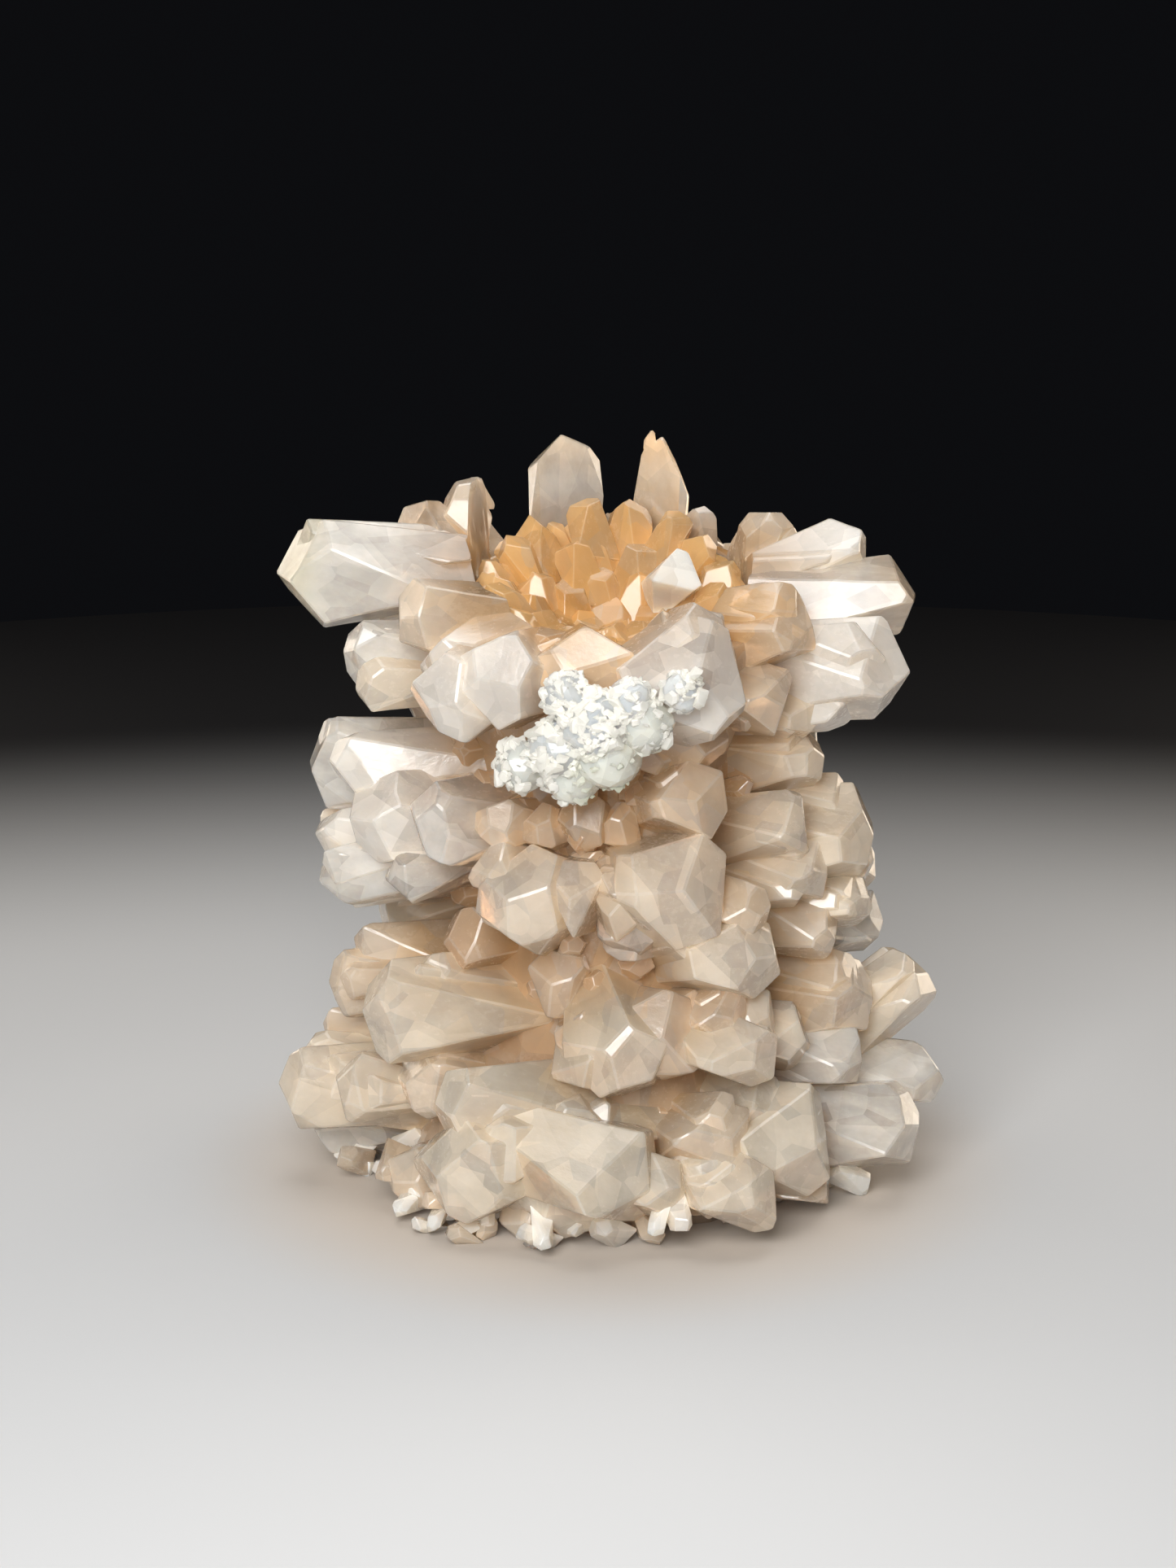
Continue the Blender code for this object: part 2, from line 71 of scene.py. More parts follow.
@dataclass(frozen=True)
class Crystal:
    """One blocky crystal, placed by its tip and the way it points."""

    bearing: float
    reach: float
    height: float
    rise: float
    length: float
    width: float
    thickness: float
    roll: float = 0.0
    blunt: float = 62.0
    swing: float = 0.0
    spread: float = 0.0
    tone: Tone = Tone.PEACH
    end: Tone | None = None


@dataclass(frozen=True)
class Ring:
    """A ring of crystals round the back of the column."""

    height: float
    reach: float
    rise: float
    count: int
    width: float
    length: float


def compass(bearing: float, rise: float = 0.0) -> Vector:
    """Give the unit vector that points along a bearing and up by an angle."""
    turn = math.radians(bearing)
    lift = math.radians(rise)
    return Vector((math.sin(turn) * math.cos(lift), -math.cos(turn) * math.cos(lift), math.sin(lift)))


def place(bearing: float, reach: float, height: float) -> Vector:
    """Give the point at a bearing, a distance from the column's axis and a height."""
    point = compass(bearing) * reach
    point.z = height
    return point


@dataclass(frozen=True)
class Cutter:
    """Cuts crystals from blocks, softens their edges and lets their faces curve a little."""

    side_faces: int = 6
    end_faces: int = 3
    shoulders: int = 2
    flare: float = 5.0
    taper: float = 9.0
    belly: float = 0.42
    edge: float = 0.22
    weld: float = 0.4
    full_width: float = 8.0
    facet: float = 3.0
    wave: float = 0.10
    wave_length: float = 5.0

    def cut_away(self, shape: bmesh.types.BMesh, point: Vector, normal: Vector) -> None:
        """Cut off what lies beyond a plane and close the cut with one flat face."""
        everything = shape.verts[:] + shape.edges[:] + shape.faces[:]
        cut = bmesh.ops.bisect_plane(
            shape, geom=everything, dist=1e-7, plane_co=point, plane_no=normal, clear_outer=True
        )
        rim = [item for item in cut["geom_cut"] if isinstance(item, bmesh.types.BMEdge)]
        if len(rim) > 2:
            bmesh.ops.contextual_create(shape, geom=rim)

    def facets(self, crystal: Crystal, rng: random.Random) -> bmesh.types.BMesh:
        """Cut one crystal from a block: sides that flare and taper by turns, then three end faces.

        Args:
            crystal: The crystal to cut.
            rng: The source of its small irregularities.

        Returns:
            The crystal with its tip at the origin, pointing up, in millimetres.
        """
        shape = bmesh.new()
        size = crystal.length + crystal.width + crystal.thickness
        bmesh.ops.create_cube(shape, size=2.0 * size)
        belly = crystal.length * self.belly
        self.cut_away(shape, Vector((0, 0, -crystal.length)), Vector((0, 0, -1)))
        for number in range(self.side_faces):
            angle = math.radians(360.0 / self.side_faces * number + rng.uniform(-9.0, 9.0))
            lean = -self.flare if number % 2 else self.taper
            lean = math.radians(lean - crystal.spread + rng.uniform(-2.5, 2.5))
            outward = Vector((math.cos(angle), math.sin(angle), 0.0))
            half = math.hypot(crystal.width * outward.x, crystal.thickness * outward.y) / 2.0
            half *= rng.uniform(0.92, 1.06)
            normal = outward * math.cos(lean) + Vector((0, 0, math.sin(lean)))
            self.cut_away(shape, outward * half - Vector((0, 0, belly)), normal)
        first = rng.uniform(0.0, 120.0)
        for number in range(self.end_faces):
            angle = math.radians(first + 360.0 / self.end_faces * number + rng.uniform(-10.0, 10.0))
            slope = math.radians(crystal.blunt + rng.uniform(-7.0, 7.0))
            outward = Vector((math.cos(angle), math.sin(angle), 0.0))
            normal = outward * math.cos(slope) + Vector((0, 0, math.sin(slope)))
            self.cut_away(shape, Vector((0, 0, rng.uniform(-0.6, 0.2))), normal)
        self.round_shoulders(shape, crystal, rng)
        return shape

    def round_shoulders(self, shape: bmesh.types.BMesh, crystal: Crystal, rng: random.Random) -> None:
        """Cut small faces between a crystal's sides and its end, as growth steps leave them.

        Args:
            shape: The crystal with its tip at the origin.
            crystal: Its measures.
            rng: The source of its small irregularities.
        """
        for _ in range(self.shoulders):
            angle = math.radians(rng.uniform(0.0, 360.0))
            slope = math.radians(rng.uniform(18.0, 38.0))
            outward = Vector((math.cos(angle), math.sin(angle), 0.0))
            normal = outward * math.cos(slope) + Vector((0, 0, math.sin(slope)))
            farthest = max(vertex.co.dot(normal) for vertex in shape.verts)
            depth = min(crystal.width, crystal.thickness) * rng.uniform(0.04, 0.12)
            self.cut_away(shape, normal * (farthest - depth), normal)

    def soften(self, shape: bmesh.types.BMesh, scale: float) -> None:
        """Round a crystal's edges.

        Args:
            shape: The crystal.
            scale: How wide the rounding is, as a share of the usual.
        """
        bmesh.ops.remove_doubles(shape, verts=shape.verts, dist=self.weld * scale)
        rim = shape.faces.layers.int.new("rim")
        made = bmesh.ops.bevel(
            shape, geom=shape.edges[:], offset=self.edge * scale, segments=1, profile=0.6,
            affect="EDGES", clamp_overlap=True,
        )
        for face in made["faces"]:
            face[rim] = 1

    def stand(self, crystal: Crystal) -> Matrix:
        """Give the matrix that takes a cut crystal to its place on the column."""
        axis = compass(crystal.bearing + crystal.swing, crystal.rise)
        level = Vector((0, 0, 1)).cross(axis).normalized()
        turned = Matrix((level, axis.cross(level), axis)).transposed().to_4x4()
        roll = Matrix.Rotation(math.radians(crystal.roll), 4, "Z")
        return Matrix.Translation(place(crystal.bearing, crystal.reach, crystal.height)) @ turned @ roll

    def make(self, name: str, crystal: Crystal) -> "Skin":
        """Make one finished crystal where it stands, cut in the way that its name seeds.

        Args:
            name: The crystal's name.
            crystal: The crystal.

        Returns:
            The crystal's skin.
        """
        shape = self.facets(crystal, random.Random(name))
        self.soften(shape, min(1.0, crystal.width / self.full_width))
        bmesh.ops.transform(shape, matrix=self.stand(crystal), verts=shape.verts)
        skin = Skin.of(shape)
        skin.divide(self.facet)
        skin.ripple(self.wave, self.wave_length)
        return skin


@dataclass
class Skin:
    """A closed skin of triangles, in millimetres."""

    corners: list[Vector] = field(default_factory=list)
    faces: list[tuple[int, int, int]] = field(default_factory=list)
    rims: list[int] = field(default_factory=list)

    @classmethod
    def of(cls, shape: bmesh.types.BMesh) -> "Skin":
        """Take a shape's skin, and free the shape."""
        bmesh.ops.triangulate(shape, faces=shape.faces[:])
        shape.verts.index_update()
        rim = shape.faces.layers.int.get("rim")
        corners = [vertex.co.copy() for vertex in shape.verts]
        faces = [tuple(vertex.index for vertex in face.verts) for face in shape.faces]
        rims = [face[rim] if rim else 0 for face in shape.faces]
        shape.free()
        return cls(corners, faces, rims)

    def middle(self, first: int, second: int, longest: float, known: dict[tuple[int, int], int | None]) -> int | None:
        """Give the corner in the middle of an edge, or nothing if the edge is short enough.

        Args:
            first: One end of the edge.
            second: Its other end.
            longest: The longest edge that stays whole.
            known: The edges that have been looked at in this round.

        Returns:
            The number of the middle corner, or None.
        """
        key = (min(first, second), max(first, second))
        if key not in known:
            known[key] = None
            if (self.corners[first] - self.corners[second]).length > longest:
                self.corners.append((self.corners[first] + self.corners[second]) / 2.0)
                known[key] = len(self.corners) - 1
        return known[key]

    def divide(self, longest: float) -> None:
        """Divide triangles until no edge is longer than a length."""
        divided = True
        while divided:
            known: dict[tuple[int, int], int | None] = {}
            fresh = []
            rims = []
            for (one, two, three), rim in zip(self.faces, self.rims):
                half = [
                    self.middle(one, two, longest, known),
                    self.middle(two, three, longest, known),
                    self.middle(three, one, longest, known),
                ]
                cuts = sum(number is not None for number in half)
                while cuts in (1, 2) and (half[0] is None or (cuts == 2 and half[2] is not None)):
                    one, two, three = two, three, one
                    half = half[1:] + half[:1]
                if cuts == 0:
                    fresh.append((one, two, three))
                elif cuts == 1:
                    fresh += [(one, half[0], three), (half[0], two, three)]
                elif cuts == 2:
                    fresh += [(half[0], two, half[1]), (one, half[0], half[1]), (one, half[1], three)]
                else:
                    fresh += [(one, half[0], half[2]), (half[0], two, half[1])]
                    fresh += [(half[2], half[1], three), tuple(half)]
                rims += [rim] * (cuts + 1)
            divided = len(fresh) > len(self.faces)
            self.faces = fresh
            self.rims = rims

    def ripple(self, depth: float, length: float) -> None:
        """Let the skin swell and sink a little.

        Args:
            depth: How far a corner may stray.
            length: How long the waves are.
        """
        for corner in self.corners:
            corner += noise.noise_vector(corner / length) * depth

    def thing(self, name: str) -> bpy.types.Object:
        """Turn the skin into an object in metres."""
        mesh = bpy.data.meshes.new(name)
        mesh.from_pydata([corner * MM for corner in self.corners], [], self.faces)
        made = bpy.data.objects.new(name, mesh)
        bpy.context.scene.collection.objects.link(made)
        return made


def new_object(name: str, shape: bmesh.types.BMesh) -> bpy.types.Object:
    """Turn a shape in millimetres into an object in metres.

    Args:
        name: The object's name.
        shape: The shape, which is freed.

    Returns:
        The object, linked to the scene.
    """
    bmesh.ops.scale(shape, vec=(MM, MM, MM), verts=shape.verts)
    bmesh.ops.recalc_face_normals(shape, faces=shape.faces)
    mesh = bpy.data.meshes.new(name)
    shape.to_mesh(mesh)
    shape.free()
    thing = bpy.data.objects.new(name, mesh)
    bpy.context.scene.collection.objects.link(thing)
    return thing


def turned_object(
    name: str,
    rings: Sequence[tuple[float, float, float]],
    sides: int,
    centre: tuple[float, float] = (0.0, 0.0),
    jitter: float = 0.0,
) -> bpy.types.Object:
    """Make a closed many-sided body.

    Args:
        name: The object's name, which also seeds its jitter.
        rings: Radius, height and backward climb of each ring, bottom to top.
        sides: How many sides it has.
        centre: Where its axis stands.
        jitter: How far a corner may stray outwards or inwards.

    Returns:
        The body as an object.
    """
    rng = random.Random(name)
    shape = bmesh.new()
    made = []
    for radius, height, climb in rings:
        ring = []
        for number in range(sides):
            angle = 2.0 * math.pi * number / sides
            reach = radius + rng.uniform(-jitter, jitter)
            across = centre[0] + reach * math.cos(angle)
            back = centre[1] + reach * math.sin(angle)
            ring.append(shape.verts.new((across, back, height + climb * back)))
        made.append(ring)
    for lower, upper in zip(made, made[1:]):
        for number in range(sides):
            after = (number + 1) % sides
            shape.faces.new((lower[number], lower[after], upper[after], upper[number]))
    shape.faces.new(made[0][::-1])
    shape.faces.new(made[-1])
    return new_object(name, shape)


def combine(target: bpy.types.Object, others: Sequence[bpy.types.Object], operation: str) -> None:
    """Join other bodies to a target, or cut them from it, and delete them.

    Args:
        target: The body that is changed.
        others: The bodies that it is combined with.
        operation: UNION, DIFFERENCE or INTERSECT.
    """
    group = bpy.data.collections.new("operands")
    bpy.context.scene.collection.children.link(group)
    for other in others:
        bpy.context.scene.collection.objects.unlink(other)
        group.objects.link(other)
    modifier = target.modifiers.new("combine", "BOOLEAN")
    modifier.operation = operation
    modifier.operand_type = "COLLECTION"
    modifier.collection = group
    modifier.solver = "MANIFOLD"
    graph = bpy.context.evaluated_depsgraph_get()
    mesh = bpy.data.meshes.new_from_object(target.evaluated_get(graph))
    target.modifiers.remove(modifier)
    target.data = mesh
    for other in others:
        bpy.data.objects.remove(other)
    bpy.data.collections.remove(group)


def smooth(thing: bpy.types.Object, finish: bpy.types.Material, sharp: float = 12.0) -> None:
    """Dress a body and shade it smooth except at its sharp edges.

    Args:
        thing: The body.
        finish: Its material.
        sharp: The angle in degrees from which an edge stays sharp.
    """
    thing.data.materials.clear()
    thing.data.materials.append(finish)
    thing.data.shade_smooth()
    thing.data.set_sharp_from_angle(angle=math.radians(sharp))


def keep_largest(thing: bpy.types.Object) -> None:
    """Keep the outer skin of the largest body, without crumbs or sealed pockets."""
    shape = bmesh.new()
    shape.from_mesh(thing.data)
    waiting = set(shape.faces)
    bodies = []
    for seed in shape.faces:
        if seed not in waiting:
            continue
        waiting.discard(seed)
        body = [seed]
        growing = [seed]
        while growing:
            for edge in growing.pop().edges:
                for other in edge.link_faces:
                    if other in waiting:
                        waiting.discard(other)
                        body.append(other)
                        growing.append(other)
        bodies.append(body)
    largest = max(bodies, key=lambda body: sum(face.calc_area() for face in body))
    extra = [face for body in bodies if body is not largest for face in body]
    bmesh.ops.delete(shape, geom=extra, context="FACES")
    shape.to_mesh(thing.data)
    shape.free()


class Socket:
    """A number in a shader graph that takes plain arithmetic."""

    def __init__(self, graph: "Graph", link: bpy.types.NodeSocket) -> None:
        """Wrap one output socket."""
        self.graph = graph
        self.link = link

    def _maths(self, operation: str, *values: Any) -> "Socket":
        """Add a Math node for an operation."""
        return self.graph.node("ShaderNodeMath", {"operation": operation}, dict(enumerate(values)))

    def __add__(self, other: Any) -> "Socket":
        """Add."""
        return self._maths("ADD", self, other)

    def __radd__(self, other: Any) -> "Socket":
        """Add to a number."""
        return self._maths("ADD", other, self)

    def __sub__(self, other: Any) -> "Socket":
        """Subtract."""
        return self._maths("SUBTRACT", self, other)

    def __rsub__(self, other: Any) -> "Socket":
        """Subtract from a number."""
        return self._maths("SUBTRACT", other, self)

    def __mul__(self, other: Any) -> "Socket":
        """Multiply."""
        return self._maths("MULTIPLY", self, other)

    def __rmul__(self, other: Any) -> "Socket":
        """Multiply a number."""
        return self._maths("MULTIPLY", other, self)

    def __truediv__(self, other: Any) -> "Socket":
        """Divide."""
        return self._maths("DIVIDE", self, other)

    def __pow__(self, other: Any) -> "Socket":
        """Raise to a power."""
        return self._maths("POWER", self, other)

    def root(self) -> "Socket":
        """Take the square root."""
        return self._maths("SQRT", self)

    def step(self, low: float, high: float) -> "Socket":
        """Rise smoothly from 0 at low to 1 at high."""
        settings = {"interpolation_type": "SMOOTHSTEP", "data_type": "FLOAT"}
        return self.graph.node("ShaderNodeMapRange", settings, {"Value": self, "From Min": low, "From Max": high})

    def fall(self, low: float, high: float) -> "Socket":
        """Fall smoothly from 1 at low to 0 at high."""
        return 1.0 - self.step(low, high)


class Graph:
    """The node tree of one material."""

    def __init__(self, name: str) -> None:
        """Start an empty material."""
        self.material = bpy.data.materials.new(name)
        self.material.use_nodes = True
        self.tree = self.material.node_tree
        self.tree.nodes.clear()
        self.output = self.tree.nodes.new("ShaderNodeOutputMaterial")

    def node(
        self,
        kind: str,
        settings: dict[str, Any] | None = None,
        sockets: dict[Any, Any] | None = None,
        out: int | str = 0,
    ) -> Socket:
        """Add a node.

        Args:
            kind: The node's type.
            settings: Its own settings, which are set first.
            sockets: Values or links of its input sockets, by name or number.
            out: Which output to give back.

        Returns:
            The chosen output.
        """
        made = self.tree.nodes.new(kind)
        for key, value in (settings or {}).items():
            setattr(made, key, value)
        for key, value in (sockets or {}).items():
            target = made.inputs[key]
            if isinstance(value, Socket):
                self.tree.links.new(value.link, target)
            else:
                target.default_value = value
        return Socket(self, made.outputs[out])

    def attribute(self, name: str, out: str = "Fac") -> Socket:
        """Read a named attribute of the mesh."""
        return self.node("ShaderNodeAttribute", {"attribute_name": name}, out=out)

    def millimetres(self) -> Socket:
        """Give the object's own coordinates in millimetres."""
        where = self.node("ShaderNodeTexCoord", out="Object")
        return self.node("ShaderNodeVectorMath", {"operation": "SCALE"}, {0: where, "Scale": 1.0 / MM})

    def split(self, vector: Socket) -> tuple[Socket, Socket, Socket]:
        """Split a vector into its three numbers."""
        made = self.tree.nodes.new("ShaderNodeSeparateXYZ")
        self.tree.links.new(vector.link, made.inputs[0])
        return Socket(self, made.outputs[0]), Socket(self, made.outputs[1]), Socket(self, made.outputs[2])

    def join(self, first: Socket, second: Socket, third: Socket) -> Socket:
        """Join three numbers into a vector."""
        return self.node("ShaderNodeCombineXYZ", None, {0: first, 1: second, 2: third})

    def cloud(self, where: Socket, size: float, detail: float = 3.0, rough: float = 0.55) -> Socket:
        """Give soft noise whose patches are about a size in millimetres."""
        values = {"Vector": where, "Scale": 1.0 / size, "Detail": detail, "Roughness": rough}
        return self.node("ShaderNodeTexNoise", None, values)

    def planes(self, where: Socket, size: float) -> Socket:
        """Give a chance number for each flat inner plane, whose size is in millimetres."""
        values = {"Vector": where, "Scale": 1.0 / size}
        return self.split(self.node("ShaderNodeTexVoronoi", None, values, "Color"))[0]

    def blend(self, share: Socket | float, first: Any, second: Any) -> Socket:
        """Mix two colours."""
        settings = {"data_type": "RGBA", "clamp_factor": True}
        return self.node("ShaderNodeMix", settings, {0: share, 6: first, 7: second}, out=2)

    def finish(self, surface: Socket, volume: Socket | None = None) -> bpy.types.Material:
        """Connect the output and give the material back."""
        self.tree.links.new(surface.link, self.output.inputs["Surface"])
        if volume is not None:
            self.tree.links.new(volume.link, self.output.inputs["Volume"])
        return self.material


@dataclass(frozen=True)
class CalciteFinish:
    """Frosted, veined calcite: milky where it is veiled and see-through where it is clear."""

    name: str = "calcite"
    # The deep colour is partly the stone's honey stain and partly painted shade, laid on towards the column's axis.
    deep: tuple[float, float, float] = (0.46, 0.24, 0.07)
    frosted: tuple[float, float, float] = (0.98, 0.92, 0.83)
    heart: float = 19.0
    skin: float = 34.0
    stain: float = 0.8
    tip_near: float = 2.0
    tip_far: float = 9.0
    # Where the painted glow at a crystal's tip starts and ends, in millimetres from the tip.
    thin_near: float = 1.0
    thin_far: float = 14.0
    glow: float = 0.35
    veil_size: float = 6.5
    veil_stretch: float = 1.5
    plane_size: float = 7.0
    coat: float = 0.3
    spike_low: float = 88.0
    spike_high: float = 99.0
    absorb: tuple[float, float, float] = (1.0, 0.84, 0.66)
    density: float = 55.0
    scatter: tuple[float, float, float] = (0.0034, 0.0026, 0.0018)
    ior: float = 1.58

    def build(self) -> bpy.types.Material:
        """Build the material.

        Returns:
            The material.
        """
        graph = Graph(self.name)
        where = graph.millimetres()
        across, along, height = graph.split(where)
        radius = (across * across + along * along).root()
        grain = graph.attribute("grain", "Vector")
        side, front, up = graph.split(grain)
        shade = graph.attribute("shade")
        drawn = graph.join(side, front, up / self.veil_stretch)
        veil = graph.cloud(drawn, self.veil_size, 4.0, 0.6)
        fine = graph.cloud(drawn, 0.9, 3.0, 0.65)
        tip = up.step(-self.tip_far, -self.tip_near)
        tone = graph.blend(tip, graph.attribute("tone", "Color"), graph.attribute("tip_tone", "Color"))
        broad = graph.planes(drawn, self.plane_size)
        small = graph.planes(drawn, self.plane_size / 2.0)
        # Partly painted shade: besides the honey zoning, this darkens the recesses and thick cores near the column with
        # the deep colour.
        stain = radius.fall(self.heart, self.skin) * self.stain * (0.75 + veil.step(0.3, 0.7) * 0.25)
        stain = stain * graph.attribute("clear").step(0.12, 0.30) * height.fall(self.spike_low, self.spike_high)
        # Painted glow: each crystal is lightened towards its thin tip, as if lit through.
        painted_glow = up.step(-self.thin_far, -self.thin_near)
        pale = graph.blend(painted_glow * self.glow, tone, (*self.frosted, 1.0))
        colour = graph.blend(stain, pale, (*self.deep, 1.0))
        white = veil.step(0.40, 0.80) * 0.12 + shade * 0.08 + small.step(0.45, 1.0) * 0.20
        colour = graph.blend(white, colour, (*self.frosted, 1.0))
        # The bevelled rims are lightened: partly wear on the edges, partly a painted highlight along them.
        colour = graph.blend(graph.attribute("rim") * 0.15, colour, (*self.frosted, 1.0))
        frost = 0.06 + 0.14 * fine.step(0.45, 0.75) + 0.20 * broad
        bump = graph.node(
            "ShaderNodeBump", None, {"Strength": 0.16, "Distance": 0.0002, "Height": fine + 0.8 * veil}, "Normal"
        )
        milky = graph.node("ShaderNodeBsdfPrincipled", {"subsurface_method": "BURLEY"}, {
            "Base Color": colour, "Roughness": frost, "IOR": self.ior, "Normal": bump,
            "Subsurface Weight": 1.0, "Subsurface Radius": self.scatter, "Subsurface Scale": 1.0,
            "Coat Weight": self.coat, "Coat Roughness": 0.06,
        })
        glassy = graph.node("ShaderNodeBsdfPrincipled", None, {
            "Base Color": graph.blend(0.85, colour, (1.0, 1.0, 1.0, 1.0)), "Roughness": frost * 0.6,
            "IOR": self.ior, "Normal": bump, "Transmission Weight": 1.0,
        })
        inner = (broad + small) * 0.5
        share = graph.attribute("clear") * (0.38 + veil.fall(0.35, 0.70) * 0.20) + inner * 0.32
        surface = graph.node("ShaderNodeMixShader", None, {0: share, 1: milky, 2: glassy})
        volume = graph.node("ShaderNodeVolumeAbsorption", None, {"Color": (*self.absorb, 1.0), "Density": self.density})
        return graph.finish(surface, volume)


@dataclass(frozen=True)
class DruseFinish:
    """The white patch: sugary and opaque, faintly green below."""

    name: str = "white_druse"
    sugar: tuple[float, float, float] = (0.72, 0.70, 0.64)
    green: tuple[float, float, float] = (0.64, 0.66, 0.52)

    def build(self) -> bpy.types.Material:
        """Build the material."""
        graph = Graph(self.name)
        where = graph.millimetres()
        across, _, height = graph.split(where)
        lower = height.fall(64.0, 70.0) * across.step(-7.0, -1.0)
        colour = graph.blend(lower, (*self.sugar, 1.0), (*self.green, 1.0))
        surface = graph.node("ShaderNodeBsdfPrincipled", {"subsurface_method": "BURLEY"}, {
            "Base Color": colour, "Roughness": 0.28 + 0.3 * graph.cloud(where, 0.8), "IOR": 1.58,
            "Subsurface Weight": 0.7, "Subsurface Radius": (0.0022, 0.0022, 0.0020), "Subsurface Scale": 1.0,
        })
        return graph.finish(surface)


@dataclass(frozen=True)
class FloorFinish:
    """A plain pale table with painted light: it dims and falls away to near black behind, and a warm glow is painted
    round the specimen's foot.
    """

    pale: tuple[float, float, float] = (0.74, 0.745, 0.75)
    warm: tuple[float, float, float] = (0.80, 0.62, 0.44)
    warm_near: float = 36.0
    warm_far: float = 64.0
    dark: tuple[float, float, float] = (0.010, 0.010, 0.011)
    centre: float = -200.0
    dim_near: float = -50.0
    dim_far: float = 400.0
    dimming: float = 0.38
    near: float = 300.0
    far: float = 495.0

    def build(self) -> bpy.types.Material:
        """Build the material."""
        graph = Graph("table")
        across, along, _ = graph.split(graph.millimetres())
        ahead = along - self.centre
        radius = (across * across + ahead * ahead).root()
        # Painted light falloff: the table darkens away from a point in front of it and fades to near black behind.
        share = (1.0 - self.dimming * radius.step(self.dim_near, self.dim_far)) * radius.fall(self.near, self.far)
        # Painted light: a warm glow round the specimen's foot, as light through the stone would cast on the table.
        beside = (across * across + along * along).root()
        pale = graph.blend(0.5 * beside.fall(self.warm_near, self.warm_far), (*self.pale, 1.0), (*self.warm, 1.0))
        colour = graph.blend(share, (*self.dark, 1.0), pale)
        return graph.finish(graph.node("ShaderNodeBsdfPrincipled", None, {
            "Base Color": colour, "Roughness": 0.9, "Specular IOR Level": 0.1,
        }))


@dataclass
class Growth:
    """The crystals that become one body, and which of them each face came from."""

    things: list[bpy.types.Object] = field(default_factory=list)
    corners: list[Vector] = field(default_factory=list)
    faces: list[tuple[int, ...]] = field(default_factory=list)
    rims: list[int] = field(default_factory=list)
    owners: list[Crystal] = field(default_factory=list)

    def note(self, skin: Skin, crystal: Crystal) -> None:
        """Note the faces of one crystal."""
        start = len(self.corners)
        self.corners += skin.corners
        self.faces += [tuple(start + number for number in face) for face in skin.faces]
        self.rims += skin.rims
        self.owners += [crystal] * len(skin.faces)

    def add(self, name: str, skin: Skin, crystal: Crystal) -> None:
        """Add one crystal.

        Args:
            name: Its name.
            skin: Its skin.
            crystal: What it is made of and where it stands.
        """
        self.note(skin, crystal)
        self.things.append(skin.thing(name))

    def join(self, body: bpy.types.Object, crystal: Crystal) -> None:
        """Join all crystals to a body.

        Args:
            body: The body that they grow from.
            crystal: What the body itself is made of.
        """
        bare = bmesh.new()
        bare.from_mesh(body.data)
        bmesh.ops.scale(bare, vec=(1.0 / MM, 1.0 / MM, 1.0 / MM), verts=bare.verts)
        self.note(Skin.of(bare), crystal)
        combine(body, self.things, "UNION")
        self.things = []

    def tint(self, body: bpy.types.Object) -> None:
        """Write on each face what its crystal is made of, and on each corner where it lies in its crystal.

        Args:
            body: The joined body.
        """
        tree = BVHTree.FromPolygons(self.corners, self.faces)
        mesh = body.data
        for name, kind, domain in (
            ("tone", "FLOAT_COLOR", "FACE"),
            ("tip_tone", "FLOAT_COLOR", "FACE"),
            ("clear", "FLOAT", "FACE"),
            ("rim", "FLOAT", "FACE"),
            ("shade", "FLOAT", "FACE"),
            ("grain", "FLOAT_VECTOR", "CORNER"),
        ):
            mesh.attributes.new(name, kind, domain)
        tone = mesh.attributes["tone"].data
        tip_tone = mesh.attributes["tip_tone"].data
        clear = mesh.attributes["clear"].data
        rim = mesh.attributes["rim"].data
        shade = mesh.attributes["shade"].data
        grain = mesh.attributes["grain"].data
        frames = {}
        for polygon in mesh.polygons:
            _, _, index, _ = tree.find_nearest(polygon.center / MM)
            crystal = self.owners[index]
            if crystal not in frames:
                frames[crystal] = (Cutter().stand(crystal).inverted(), random.Random(repr(crystal)).random())
            inward, chance = frames[crystal]
            ending = crystal.end or crystal.tone
            tone[polygon.index].color = (*crystal.tone.value[:3], 1.0)
            tip_tone[polygon.index].color = (*ending.value[:3], 1.0)
            clear[polygon.index].value = crystal.tone.value[3]
            rim[polygon.index].value = self.rims[index]
            shade[polygon.index].value = chance
            for loop in polygon.loop_indices:
                corner = mesh.vertices[mesh.loops[loop].vertex_index].co / MM
                local = inward @ corner
                grain[loop].vector = (local.x + 300.0 * chance, local.y, local.z)


